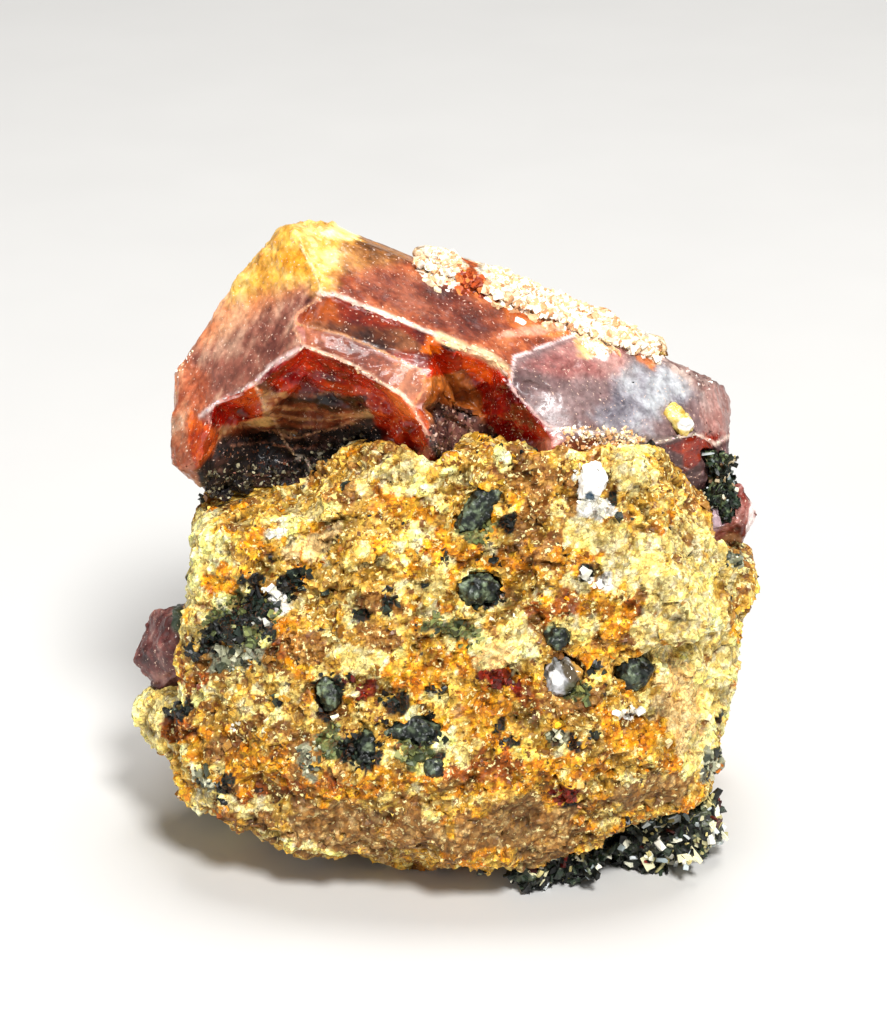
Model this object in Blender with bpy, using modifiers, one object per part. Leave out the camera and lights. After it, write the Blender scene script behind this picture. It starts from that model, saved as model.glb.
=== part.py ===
"""Zircon crystal on a granular feldspar matrix, standing as it would on a shelf.

Sizes are in millimetres and become metres where a shape is made. +X is to the right of the
display side, +Y runs into the specimen, away from the viewer, and +Z is up. The specimen is
modelled about a working origin under its middle and moved onto its base centre at the end.
"""

import math
import random

import bmesh
import bpy
from mathutils import Matrix, Vector
from mathutils.bvhtree import BVHTree

MM = 0.001
BLANK_SIZE = 70.0  # rough block that every stone is cleaved from
SEAT_GAP = 0.3  # clearance round the large crystal in its matrix
GRAIN_GAP = 0.15  # clearance round a small grain in its pocket

# The display side is looked at along one line of sight, from a little above.
SIGHT_TILT = 25.0
SIGHT_CENTRE = Vector((0.0, 13.1, 23.9))
SIGHT_DISTANCE = 238.9
SURFACE_REACH = 25.0  # how far in front of the sight centre a hollow's cutter starts

ROCK_VOXEL = 0.85  # mesh size of the weathered rock before thinning
ROCK_FACES = 5400  # triangles kept on the weathered rock
TERRACE_JITTER = 0.45  # unevenness of a hollow's terraces in depth
RIM_JITTER = 0.1  # the same across, as a share of a terrace's size for each millimetre of depth
GRAIN_FACES = 14  # faces of a broken grain
GOLDEN_ANGLE = math.radians(137.5)  # spreads a grain's faces evenly round it
FACE_STRAY = 0.25  # how far a grain's face strays from its even place, in radians
FACE_DEPTHS = (0.8, 1.0)  # how far out a grain's faces lie, as shares of its half size

# Crystal faces as azimuth, elevation and distance from the crystal's centre.
# Azimuth 0 faces the viewer, 90 faces +X. Elevation 90 faces up.
ZIRCON_CENTRE = Vector((0.5, 18.0, 34.0))
ZIRCON_FACES = {
    "top": (52, 63, 4.2),
    "left": (-53, 30, 11.9),
    "right": (47, 43, 6.3),
    "front": (-9, 1, 8.0),
    "under_right": (29, -11, 10.9),
    "left_end": (-89, 3, 19.3),
    "upper_left": (-106, 31, 15.2),
    "tip_left": (-106, 42, 14.3),
    "tip_top": (-167, 71, 9.6),
    "ridge": (123, 63, 4.8),
    "upper_right": (108, 58, 6.6),
    "right_end": (66, 30, 11.6),
    "right_tip": (80, 22, 15.1),
    "right_low": (86, -10, 20.8),
    "back": (172, 18, 7.0),
    "back_left": (-140, 8, 13.5),
    "foot": (-5, -35, 9.1),
    "base": (-90, -83, 12.7),
    "base_left": (-60, -45, 18.2),
}

# The step between the top face and the front: a steep riser over a sloping tread.
STEP_RISER = (2, 8, 5.8)
STEP_TREAD = (11, 34, 5.4)

# Mouths of the two broken hollows, as distances across and up from the sight centre.
LEFT_MOUTH = (
    (-9.8, 11.6), (-7.7, 10.9), (-5.7, 9.9), (-3.7, 8.8), (-2.3, 7.4), (-1.5, 6.1),
    (-0.9, 4.8), (-1.3, 2.6), (-4.4, 0.5), (-8.6, -0.9), (-12.8, -1.6), (-16.2, -0.7),
    (-17.4, 1.2), (-17.3, 3.3), (-16.6, 5.4), (-16.1, 7.6), (-14.4, 8.3), (-12.7, 9.2),
    (-11.3, 10.6),
)
LEFT_FLOOR = (-9.0, 2.4)
LEFT_TERRACES = (
    (1.0, -0.3), (0.93, 1.0), (0.86, 2.8), (0.78, 3.2),
    (0.71, 4.9), (0.6, 5.2), (0.5, 6.6), (0.25, 7.2),
)
RIGHT_MOUTH = (
    (-1.1, 12.0), (0.5, 11.4), (1.9, 11.2), (3.5, 10.7), (4.3, 9.7), (4.8, 9.1), (5.4, 8.0),
    (6.5, 6.8), (7.4, 5.9), (7.9, 5.0), (7.4, 2.9), (4.0, 1.5), (0.5, 1.9), (-0.2, 3.4),
    (-0.4, 4.9), (-0.9, 6.3), (-1.6, 7.5), (-1.1, 8.5), (-1.0, 9.8), (-1.3, 10.9),
)
RIGHT_FLOOR = (2.1, 5.6)
RIGHT_TERRACES = ((1.0, -0.3), (0.9, 1.3), (0.72, 3.4), (0.55, 4.2), (0.35, 5.6))

# The rock is three cleaved masses: the front, the rim that stands up before the crystal, and the
# crust that climbs the crystal's back.
FRONT_CENTRE = Vector((0.0, 14.0, 15.0))
FRONT_FACES = {
    "front": (-5, 24, 9.6),
    "front_right": (40, 14, 15.7),
    "front_left": (-36, 16, 14.5),
    "lower_front": (-10, -4, 13.8),
    "lower_right": (13, -14, 15.5),
    "undercut_front": (-5, -60, 16.9),
    "undercut_right": (38, -54, 18.5),
    "undercut_left": (-45, -58, 18.9),
    "left": (-91, 3, 18.0),
    "lower_left": (-56, -11, 20.6),
    "right": (82, -9, 20.9),
    "rim_left": (-122, 71, 11.7),
    "rim_right": (112, 52, 15.7),
    "rim_middle": (180, 70, 13.0),
    "back": (180, 0, 16.0),
    "back_left": (-140, -3, 19.4),
    "back_right": (140, -4, 20.4),
    "back_low": (178, -40, 21.0),
    "base": (0, -90, 18.0),
}
RIM_CENTRE = Vector((1.0, 13.0, 25.0))
RIM_FACES = {
    "front": (-5, 24, 5.0),
    "left": (-95, 50, 6.8),
    "top": (180, 75, 3.8),
    "right": (80, 25, 13.8),
    "back": (180, 0, 5.0),
    "base": (0, -90, 7.0),
}
CRUST_CENTRE = Vector((0.0, 24.0, 20.0))
CRUST_FACES = {
    "crest": (123, 63, 17.3),
    "crest_left": (-150, 62, 17.0),
    "crest_back": (164, 29, 9.6),
    "left": (-95, 10, 15.0),
    "right": (90, 5, 17.0),
    "front": (0, 0, 3.2),
    "back": (176, -4, 8.6),
    "back_left": (-138, 4, 13.4),
    "back_right": (139, 6, 14.4),
    "back_low": (170, -42, 17.6),
    "base": (0, -90, 23.0),
}
LOBE_CENTRE = Vector((-17.0, 13.0, 6.5))
LOBE_FACES = {
    "upper": (-88, 28, 4.7),
    "lower": (-80, -42, 3.3),
    "front": (-28, 8, 3.6),
    "back": (180, 5, 4.0),
    "top": (0, 85, 3.6),
    "base": (0, -85, 3.4),
    "inner": (90, 0, 5.0),
}
ROCK_BASE = -1.6  # height of the sawn-flat seat under the rock in the working frame
CLUSTER_BASE = -1.55  # lowest height of the dark cluster, just clear of what the rock stands on
# Coarse and fine swelling of the weathered rock: size of the swellings, and how high they stand.
WEATHERING = ((4.1, 1.3), (1.6, 0.6))
# Knobs (positive) and pits of the rock face: across, up, radius and height.
ROCK_RELIEF = (
    (-3.4, 4.0, 2.6, 0.6), (1.8, 3.0, 1.5, -1.1), (8.1, 4.0, 2.4, 0.5), (13.3, 2.9, 2.0, 1.1),
    (14.3, 0.8, 1.3, -0.8), (10.4, 2.0, 2.0, 0.5), (2.6, 0.2, 1.9, -0.8), (2.7, -5.5, 1.7, -0.7),
    (3.9, -10.0, 2.8, 0.7), (-2.3, -16.9, 1.7, 1.0), (-5.4, -16.7, 1.6, -0.8), (-2.1, -15.4, 1.8, -0.8),
    (-14.9, -6.2, 3.2, -0.9), (-10.3, -4.4, 1.6, -0.9), (-8.1, -12.4, 1.4, -0.7), (16.5, -16.0, 3.4, 0.7),
    (14.0, -5.2, 2.8, 0.5), (18.2, -6.8, 2.6, 0.7), (8.2, -11.5, 2.0, -0.8), (13.3, -11.1, 1.8, -0.9),
    (-6.5, -20.3, 2.4, -0.7), (-0.5, -20.4, 2.6, -0.7), (5.2, -20.6, 2.4, -0.6), (-13.0, -20.0, 2.4, -0.5),
    (-9.6, -22.8, 2.0, 0.6), (5.5, -24.6, 2.2, 0.7), (-1.4, 1.4, 2.4, 0.5), (-6.8, -2.2, 2.6, 0.6),
)

# Small stones as centre, half sizes, turn about each axis in degrees, and the seed of their faces.
SMALL_ZIRCONS = {
    "zircon_left_small": ((-19.2, 16.0, 11.3), (2.3, 2.6, 3.9), (6, 14, -12), 5),
    "zircon_right_small": ((20.2, 19.2, 20.9), (2.3, 2.2, 2.1), (10, -32, 20), 9),
}
# Grains in the rock face as place across and up, half sizes, turn in the face, depth they are
# sunk and seed.
FACE_GRAINS = {
    "quartz_grain": ((10.35, 2.0), (1.0, 1.7, 0.9), -14, 0.25, 3),
    "mica_flake": ((8.15, -11.5), (1.3, 1.7, 0.55), 20, 0.1, 11),
    "amphibole_grain_1": ((2.5, 0.4), (0.75, 2.5, 0.8), -38, 0.15, 21),
    "amphibole_grain_2": ((2.6, -5.5), (1.4, 1.0, 0.8), 5, 0.2, 22),
    "amphibole_grain_3": ((13.3, -11.1), (1.1, 1.35, 0.9), 12, 0.1, 23),
    "amphibole_grain_4": ((-2.1, -15.4), (2.3, 0.75, 0.7), 8, 0.15, 24),
    "amphibole_grain_5": ((-5.4, -16.7), (0.8, 1.4, 0.7), -10, 0.15, 25),
    "amphibole_grain_6": ((-8.1, -12.5), (0.55, 1.4, 0.6), 6, 0.1, 26),
    "amphibole_grain_7": ((7.9, -8.9), (0.8, 0.65, 0.6), 0, 0.1, 27),
    "amphibole_grain_8": ((-0.6, -17.9), (0.55, 0.65, 0.5), 0, 0.1, 28),
}
CHIP = ((16.6, 6.5), (0.85, 1.15, 0.6), 8, 0.1, 31)

# Blades of the two amphibole clusters as centre, half length, half width and turn about each axis.
RIGHT_BLADES = (
    ((19.6, 17.6, 24.3), 2.0, 0.55, (14, 8, 30)), ((20.3, 18.2, 23.7), 1.7, 0.5, (-6, -14, 10)),
    ((19.0, 17.4, 23.0), 1.5, 0.5, (20, 24, 55)), ((20.1, 17.9, 22.7), 1.3, 0.45, (-12, 10, 80)),
    ((19.3, 17.5, 25.4), 1.3, 0.45, (8, -22, 20)),
)
CLUSTER_CORES = (
    ((15.4, 9.2, 0.9), (5.0, 2.6, 2.7), (0, -8, 8), 41),
    ((9.0, 6.6, 0.4), (4.6, 1.5, 1.2), (0, -6, 22), 42),
    ((6.2, 4.6, -0.3), (1.5, 1.1, 1.2), (0, 10, 10), 43),
)
CLUSTER_BLADES = 20
CLUSTER_SEED = 7
BLADE_TWIST = 20  # degrees its first side is turned from the blade's own axis
BLADE_FLATNESS = 0.7  # width across its narrow sides, as a share of the wide ones
BLADE_END = (0.25, 0.35)  # slant of its end faces
BLADE_HALF_LENGTHS = (1.2, 2.1)
BLADE_HALF_WIDTHS = (0.4, 0.75)
BLADE_ROOT = 0.85  # how far out in its core a blade is rooted, as a share of the core's half size


def outward(azimuth, elevation):
    """The unit vector that a face with this azimuth and elevation looks along."""
    turn, lift = math.radians(azimuth), math.radians(elevation)
    flat = math.cos(lift)
    return Vector((math.sin(turn) * flat, -math.cos(turn) * flat, math.sin(lift)))


def sight_line(across, up):
    """Eye point and direction of the sight line that crosses the display plane there."""
    tilt = math.radians(SIGHT_TILT)
    into = Vector((0.0, math.cos(tilt), -math.sin(tilt)))
    upright = Vector((0.0, math.sin(tilt), math.cos(tilt)))
    eye = SIGHT_CENTRE - into * SIGHT_DISTANCE
    crossing = SIGHT_CENTRE + Vector((across, 0.0, 0.0)) + upright * up
    return eye, (crossing - eye).normalized()


def sight_point(across, up, depth):
    """The point of that sight line whose Y is depth."""
    eye, way = sight_line(across, up)
    return eye + way * ((depth - eye.y) / way.y)


def clear_scene():
    for obj in list(bpy.data.objects):
        bpy.data.objects.remove(obj)


def collection(name):
    made = bpy.data.collections.new(name)
    bpy.context.scene.collection.children.link(made)
    return made


def move_to(obj, target):
    for holder in list(obj.users_collection):
        holder.objects.unlink(obj)
    target.objects.link(obj)


def mineral(name, colour, roughness, metallic=0.0):
    """A Principled material in the mineral's own colour."""
    made = bpy.data.materials.new(name)
    made.use_nodes = True
    shader = made.node_tree.nodes["Principled BSDF"]
    shader.inputs["Base Color"].default_value = (*colour, 1.0)
    shader.inputs["Roughness"].default_value = roughness
    shader.inputs["Metallic"].default_value = metallic
    return made


def cleaved_block(name, centre, faces, grow=0.0):
    """A cube split along each face plane, as a stone is cleaved. grow moves every face out."""
    bpy.ops.mesh.primitive_cube_add(size=BLANK_SIZE * MM, location=centre * MM)
    block = bpy.context.object
    block.name = name
    mesh = bmesh.new()
    mesh.from_mesh(block.data)
    for normal, distance in faces:
        everything = mesh.verts[:] + mesh.edges[:] + mesh.faces[:]
        cut = bmesh.ops.bisect_plane(
            mesh,
            geom=everything,
            plane_co=normal * (distance + grow) * MM,
            plane_no=normal,
            clear_outer=True,
        )
        rim = [part for part in cut["geom_cut"] if isinstance(part, bmesh.types.BMEdge)]
        if rim:
            bmesh.ops.contextual_create(mesh, geom=rim)
    mesh.to_mesh(block.data)
    mesh.free()
    place_in_mesh(block)
    return block


def place_in_mesh(obj):
    """Moves an object's placement into its mesh."""
    obj.data.transform(obj.matrix_basis)
    obj.matrix_basis = Matrix.Identity(4)


def apply_modifiers(obj):
    bpy.context.view_layer.objects.active = obj
    for modifier in list(obj.modifiers):
        bpy.ops.object.modifier_apply(modifier=modifier.name)


def combine(obj, other, operation):
    """Joins or cuts obj with other, which is used up."""
    modifier = obj.modifiers.new(operation.title(), "BOOLEAN")
    modifier.operation = operation
    modifier.object = other
    modifier.solver = "EXACT"
    apply_modifiers(obj)
    bpy.data.objects.remove(other)


def keep_main_body(obj):
    """Deletes crumbs and sealed bubbles that cutting left, and keeps the largest body."""
    mesh = bmesh.new()
    mesh.from_mesh(obj.data)
    waiting, bodies = set(mesh.verts), []
    while waiting:
        body, edge_of_body = set(), [waiting.pop()]
        while edge_of_body:
            vertex = edge_of_body.pop()
            body.add(vertex)
            for edge in vertex.link_edges:
                other = edge.other_vert(vertex)
                if other in waiting:
                    waiting.discard(other)
                    edge_of_body.append(other)
        bodies.append(body)
    main_body = max(bodies, key=len)
    crumbs = [vertex for body in bodies if body is not main_body for vertex in body]
    bmesh.ops.delete(mesh, geom=crumbs, context="VERTS")
    mesh.to_mesh(obj.data)
    mesh.free()


def turned_round(face):
    """The same plane, looked at from its other side."""
    azimuth, elevation, distance = face
    return azimuth + 180, -elevation, -distance


def surface_of(obj):
    mesh = bmesh.new()
    mesh.from_mesh(obj.data)
    tree = BVHTree.FromBMesh(mesh)
    mesh.free()
    return tree


def seat_on(tree, across, up):
    """Where the sight line through that place of the display plane meets a surface, and its normal."""
    eye, way = sight_line(across, up)
    place, normal, _, _ = tree.ray_cast(eye * MM, way)
    return (None, None) if place is None else (place / MM, normal)


def sunk_hollow(name, tree, mouth, floor, terraces, ease=0.0):
    """A cutter for a broken hollow: rings that shrink from its mouth towards its floor, in terraces.

    Each terrace is the mouth's scale about the floor point and how far it lies behind the surface.
    ease draws every ring in by that much.
    """
    floor_point, _ = seat_on(tree, *floor)
    rim = []
    for across, up in mouth:
        place, _ = seat_on(tree, across, up)
        rim.append((across, up, place.y if place else floor_point.y))
    rings = [[sight_point(across, up, depth - SURFACE_REACH) for across, up, depth in rim]]
    rng = random.Random(len(mouth))
    for scale, sink in terraces:
        ring = []
        for across, up, depth in rim:
            reach = math.hypot(across - floor[0], up - floor[1])
            uneven = rng.uniform(-1.0, 1.0) * TERRACE_JITTER if sink > 0 else 0.0
            kept = (scale + uneven * RIM_JITTER) * (1.0 - ease / reach)
            ring.append(
                sight_point(
                    floor[0] + (across - floor[0]) * kept,
                    floor[1] + (up - floor[1]) * kept,
                    floor_point.y + (depth - floor_point.y) * scale + sink + uneven - ease,
                )
            )
        rings.append(ring)
    mesh = bmesh.new()
    loops = [[mesh.verts.new(point * MM) for point in ring] for ring in rings]
    count = len(mouth)
    for near, far in zip(loops, loops[1:]):
        for i in range(count):
            mesh.faces.new((near[i], near[(i + 1) % count], far[(i + 1) % count], far[i]))
    mesh.faces.new(loops[0])
    mesh.faces.new(loops[-1])
    bmesh.ops.triangulate(mesh, faces=mesh.faces[:])
    bmesh.ops.recalc_face_normals(mesh, faces=mesh.faces[:])
    made = bpy.data.meshes.new(name)
    mesh.to_mesh(made)
    mesh.free()
    cutter = bpy.data.objects.new(name, made)
    bpy.context.scene.collection.objects.link(cutter)
    return cutter


def broken_crystal(name, grow=0.0):
    """The large crystal: natural faces, then the step and the two hollows broken out of it."""
    crystal = cleaved_block(name, ZIRCON_CENTRE, faces_of(ZIRCON_FACES.values()), grow)
    whole = surface_of(crystal)
    wedge = faces_of((turned_round(STEP_RISER), turned_round(STEP_TREAD)))
    combine(crystal, cleaved_block("step_cut", ZIRCON_CENTRE, wedge, -grow), "DIFFERENCE")
    left = sunk_hollow("left_cut", whole, LEFT_MOUTH, LEFT_FLOOR, LEFT_TERRACES, grow)
    combine(crystal, left, "DIFFERENCE")
    right = sunk_hollow("right_cut", whole, RIGHT_MOUTH, RIGHT_FLOOR, RIGHT_TERRACES, grow)
    combine(crystal, right, "DIFFERENCE")
    return crystal


def faces_of(table):
    """Unit normals and distances of a table of azimuth, elevation and distance."""
    return [(outward(azimuth, elevation), distance) for azimuth, elevation, distance in table]


def turned(degrees):
    """Turned about X, then Y, then Z."""
    about_x, about_y, about_z = (
        Matrix.Rotation(math.radians(turn), 3, axis) for turn, axis in zip(degrees, "XYZ")
    )
    return about_z @ about_y @ about_x


def chip(name, centre, sizes, turn, seed, grow=0.0):
    """A broken grain: faces round an ellipsoid of those half sizes, turned as the grain lies."""
    rng = random.Random(seed)
    faces = []
    for number in range(GRAIN_FACES):
        height = 1.0 - (2 * number + 1) / GRAIN_FACES
        girth = math.sqrt(1.0 - height * height)
        angle = number * GOLDEN_ANGLE + rng.uniform(-FACE_STRAY, FACE_STRAY)
        normal = Vector((girth * math.cos(angle), girth * math.sin(angle), height))
        reach = Vector(size * part for size, part in zip(sizes, normal)).length
        faces.append((turn @ normal, reach * rng.uniform(*FACE_DEPTHS)))
    return cleaved_block(name, Vector(centre), faces, grow)


def blade(name, centre, half_length, half_width, turn, grow=0.0):
    """A six-sided prism with slanting ends, as amphibole grows."""
    faces = []
    for side in range(6):
        angle = math.radians(60 * side + BLADE_TWIST)
        wide = half_width * (1.0 if side % 3 else BLADE_FLATNESS)
        faces.append((turn @ Vector((math.cos(angle), math.sin(angle), 0.0)), wide))
    for end in (1, -1):
        slant = Vector((BLADE_END[0], BLADE_END[1] * end, end)).normalized()
        faces.append((turn @ slant, half_length))
    return cleaved_block(name, Vector(centre), faces, grow)


def joined(name, pieces):
    """One body from several that overlap."""
    whole = pieces[0]
    for piece in pieces[1:]:
        combine(whole, piece, "UNION")
    whole.name = name
    return whole


def right_blades(name, grow=0.0):
    return joined(name, [
        blade(name, centre, length, width, turned(turn), grow)
        for centre, length, width, turn in RIGHT_BLADES
    ])


def base_cluster(name, grow=0.0):
    """The dark cluster under the lower right of the rock: cores with blades standing out of them."""
    pieces = [
        chip(name, centre, sizes, turned(turn), seed, grow)
        for centre, sizes, turn, seed in CLUSTER_CORES
    ]
    rng = random.Random(CLUSTER_SEED)
    for number in range(CLUSTER_BLADES):
        centre, sizes, turn, _ = CLUSTER_CORES[number % 5 == 4]
        way = Vector((rng.uniform(-1.0, 1.0), rng.uniform(-1.0, 0.2), rng.uniform(-0.9, 0.9))).normalized()
        root = Vector(size * part for size, part in zip(sizes, way)) * BLADE_ROOT
        place = Vector(centre) + turned(turn) @ root
        lie = turned((rng.uniform(0, 180), rng.uniform(-60, 60), rng.uniform(0, 180)))
        length, width = rng.uniform(*BLADE_HALF_LENGTHS), rng.uniform(*BLADE_HALF_WIDTHS)
        pieces.append(blade(name, place, length, width, lie, grow))
    cluster = joined(name, pieces)
    cut_flat(cluster, CLUSTER_BASE)
    return cluster


def cut_flat(obj, height):
    """Cuts an object off at that height and closes it there."""
    mesh = bmesh.new()
    mesh.from_mesh(obj.data)
    everything = mesh.verts[:] + mesh.edges[:] + mesh.faces[:]
    cut = bmesh.ops.bisect_plane(
        mesh,
        geom=everything,
        plane_co=Vector((0.0, 0.0, height)) * MM,
        plane_no=Vector((0.0, 0.0, -1.0)),
        clear_outer=True,
    )
    rim = [part for part in cut["geom_cut"] if isinstance(part, bmesh.types.BMEdge)]
    if rim:
        bmesh.ops.triangle_fill(mesh, use_beauty=True, edges=rim)
    bmesh.ops.recalc_face_normals(mesh, faces=mesh.faces[:])
    mesh.to_mesh(obj.data)
    mesh.free()


def swell(obj, size, height):
    """Uneven swelling of a surface, of that size and height."""
    clouds = bpy.data.textures.new("swelling", "CLOUDS")
    clouds.noise_scale = size * MM
    clouds.noise_depth = 1
    modifier = obj.modifiers.new("Swell", "DISPLACE")
    modifier.texture = clouds
    modifier.texture_coords = "LOCAL"
    modifier.strength = height * MM
    modifier.mid_level = 0.5
    apply_modifiers(obj)


def raise_relief(obj, relief):
    """Pushes knobs out of the rock face and pits into it."""
    tree = surface_of(obj)
    spots = []
    for across, up, radius, height in relief:
        place, normal = seat_on(tree, across, up)
        spots.append((place, normal, radius, height))
    for vertex in obj.data.vertices:
        point = vertex.co / MM
        push = Vector()
        for place, normal, radius, height in spots:
            near = (point - place).length / radius
            if near < 1.0:
                push += normal * height * (1.0 - near * near) ** 2
        vertex.co += push * MM


def weathered_rock():
    """The feldspar rock before its pockets are cut."""
    rock = cleaved_block("matrix", FRONT_CENTRE, faces_of(FRONT_FACES.values()))
    for name, centre, table in (
        ("rim", RIM_CENTRE, RIM_FACES),
        ("crust", CRUST_CENTRE, CRUST_FACES),
        ("lobe", LOBE_CENTRE, LOBE_FACES),
    ):
        combine(rock, cleaved_block(name, centre, faces_of(table.values())), "UNION")
    remesh = rock.modifiers.new("Remesh", "REMESH")
    remesh.mode = "VOXEL"
    remesh.voxel_size = ROCK_VOXEL * MM
    apply_modifiers(rock)
    for size, height in WEATHERING:
        swell(rock, size, height)
    raise_relief(rock, ROCK_RELIEF)
    rock.data.calc_loop_triangles()
    thin = rock.modifiers.new("Decimate", "DECIMATE")
    thin.ratio = ROCK_FACES / len(rock.data.loop_triangles)
    apply_modifiers(rock)
    cut_flat(rock, ROCK_BASE)
    return rock


def in_face(normal, turn):
    """A grain's turn: its thin side along the surface normal, its length turned in the face."""
    upright = (Vector((0.0, 0.0, 1.0)) - normal * normal.z).normalized()
    side = upright.cross(normal)
    lie = Matrix((side, upright, normal)).transposed()
    return lie @ Matrix.Rotation(math.radians(turn), 3, "Z")


def face_grain(name, tree, where, sizes, turn, sunk, seed):
    """A grain and the slightly larger one that its pocket is cut with."""
    place, normal = seat_on(tree, *where)
    lie = in_face(normal, turn)
    centre = place - normal * sunk
    return chip(name, centre, sizes, lie, seed), chip("pocket", centre, sizes, lie, seed, GRAIN_GAP)


def onto_base_centre(objects):
    """Moves the whole specimen so that its origin is under the middle of its outer box."""
    corners = [vertex.co for obj in objects for vertex in obj.data.vertices]
    low = [min(corner[axis] for corner in corners) for axis in range(3)]
    high = [max(corner[axis] for corner in corners) for axis in range(3)]
    shift = Vector((-(low[0] + high[0]) / 2, -(low[1] + high[1]) / 2, -low[2]))
    for obj in objects:
        obj.data.transform(Matrix.Translation(shift))
    print("working frame moved by", [round(part / MM, 3) for part in shift])


def main():
    clear_scene()
    specimen = collection("zircon_specimen")
    minerals = {
        "matrix": mineral("feldspar_rock", (0.72, 0.5, 0.2), 0.6),
        "zircon": mineral("zircon_red_brown", (0.3, 0.05, 0.02), 0.15),
        "amphibole": mineral("amphibole_black", (0.02, 0.035, 0.025), 0.3),
        "quartz": mineral("quartz_white", (0.9, 0.9, 0.88), 0.15),
        "mica": mineral("mica_silver", (0.35, 0.36, 0.38), 0.25, 0.4),
        "feldspar": mineral("feldspar_cream", (0.8, 0.68, 0.35), 0.35),
    }
    rock = weathered_rock()
    pieces = [rock]
    combine(rock, broken_crystal("pocket", SEAT_GAP), "DIFFERENCE")
    crystal = broken_crystal("zircon_crystal")
    pieces.append(crystal)
    rock_face = surface_of(rock)
    for name, (centre, sizes, turn, seed) in SMALL_ZIRCONS.items():
        small = chip(name, centre, sizes, turned(turn), seed)
        combine(small, broken_crystal("pocket", SEAT_GAP), "DIFFERENCE")
        combine(small, right_blades("pocket", GRAIN_GAP), "DIFFERENCE")
        combine(rock, chip("pocket", centre, sizes, turned(turn), seed, SEAT_GAP), "DIFFERENCE")
        pieces.append(small)
    for name, grain in FACE_GRAINS.items():
        made, pocket = face_grain(name, rock_face, *grain)
        combine(rock, pocket, "DIFFERENCE")
        pieces.append(made)
    made, pocket = face_grain("feldspar_chip", surface_of(crystal), *CHIP)
    combine(crystal, pocket, "DIFFERENCE")
    pieces.append(made)
    combine(crystal, right_blades("pocket", GRAIN_GAP), "DIFFERENCE")
    combine(rock, right_blades("pocket", GRAIN_GAP), "DIFFERENCE")
    pieces.append(right_blades("amphibole_right"))
    combine(rock, base_cluster("pocket", GRAIN_GAP), "DIFFERENCE")
    pieces.append(base_cluster("amphibole_cluster"))
    for obj in pieces:
        keep_main_body(obj)
        obj.data.materials.clear()
        obj.data.materials.append(minerals[obj.name.split("_")[0]])
        move_to(obj, specimen)
    onto_base_centre(pieces)


main()
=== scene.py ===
import itertools
import math
import random

import bmesh
import bpy
import numpy as np
from mathutils import Euler, Matrix, Vector
from mathutils.bvhtree import BVHTree
from mathutils.kdtree import KDTree


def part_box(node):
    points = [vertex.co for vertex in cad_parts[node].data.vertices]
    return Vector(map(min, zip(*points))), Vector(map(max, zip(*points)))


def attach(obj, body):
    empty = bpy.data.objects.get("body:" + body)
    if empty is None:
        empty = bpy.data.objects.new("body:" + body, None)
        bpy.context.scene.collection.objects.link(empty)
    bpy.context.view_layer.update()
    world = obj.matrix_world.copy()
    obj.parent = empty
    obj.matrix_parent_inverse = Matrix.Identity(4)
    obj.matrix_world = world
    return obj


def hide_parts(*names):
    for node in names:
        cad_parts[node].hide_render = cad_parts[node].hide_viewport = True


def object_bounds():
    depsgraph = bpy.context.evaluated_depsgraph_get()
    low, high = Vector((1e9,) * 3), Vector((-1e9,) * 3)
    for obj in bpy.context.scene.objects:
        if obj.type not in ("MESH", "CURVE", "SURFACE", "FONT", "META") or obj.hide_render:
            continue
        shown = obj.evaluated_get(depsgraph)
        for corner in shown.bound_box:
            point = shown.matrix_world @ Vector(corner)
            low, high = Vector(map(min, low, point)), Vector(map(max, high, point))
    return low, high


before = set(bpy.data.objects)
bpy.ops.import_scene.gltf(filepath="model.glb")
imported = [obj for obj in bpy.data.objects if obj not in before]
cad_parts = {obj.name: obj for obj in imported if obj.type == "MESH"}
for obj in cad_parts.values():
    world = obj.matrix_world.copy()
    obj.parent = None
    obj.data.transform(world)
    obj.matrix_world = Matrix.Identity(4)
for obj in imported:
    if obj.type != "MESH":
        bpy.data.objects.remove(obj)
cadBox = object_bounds()
print("stage: frame loaded,", len(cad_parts), "nodes")

mm = 0.001

# The display side is looked at along one line of sight. Places on it are millimetres across and
# up from the aim point, on a plane square to that line.
sight = {"tilt": 25.0, "distance": 238.93, "lens": 120.0, "aimFromCrystal": (19.41, 3.15, 5.05)}
tilt = math.radians(sight["tilt"])
into = Vector((0.0, math.cos(tilt), -math.sin(tilt)))
upright = Vector((0.0, math.sin(tilt), math.cos(tilt)))
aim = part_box("zircon_crystal")[0] + Vector(sight["aimFromCrystal"]) * mm
eye = aim - into * sight["distance"] * mm


def sightLine(across, up):
    crossing = aim + (Vector((across, 0.0, 0.0)) + upright * up) * mm
    return eye, (crossing - eye).normalized()


# places across and up, and depth behind the aim plane, of many points at once
def onDisplay(points):
    away = points - np.array(eye)
    deep = away @ np.array(into)
    scale = sight["distance"] / deep
    return away[:, 0] * scale, (away @ np.array(upright)) * scale, deep / mm - sight["distance"]


def linear(colour):
    return tuple((part / 255.0 / 12.92) if part <= 10 else ((part / 255.0 + 0.055) / 1.055) ** 2.4
                 for part in colour)


def smoothStep(values):
    clipped = np.clip(values, 0.0, 1.0)
    return clipped * clipped * (3.0 - 2.0 * clipped)


# from one set of values to another by a share for each point
def blend(first, other, share):
    if np.ndim(first) == 2:
        share = share[:, None]
    return first * (1.0 - share) + other * share


# Objects and meshes

def selectOnly(piece):
    bpy.ops.object.select_all(action="DESELECT")
    piece.select_set(True)
    bpy.context.view_layer.objects.active = piece


def addObject(name, data):
    item = bpy.data.objects.new(name, data)
    bpy.context.scene.collection.objects.link(item)
    return item


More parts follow.
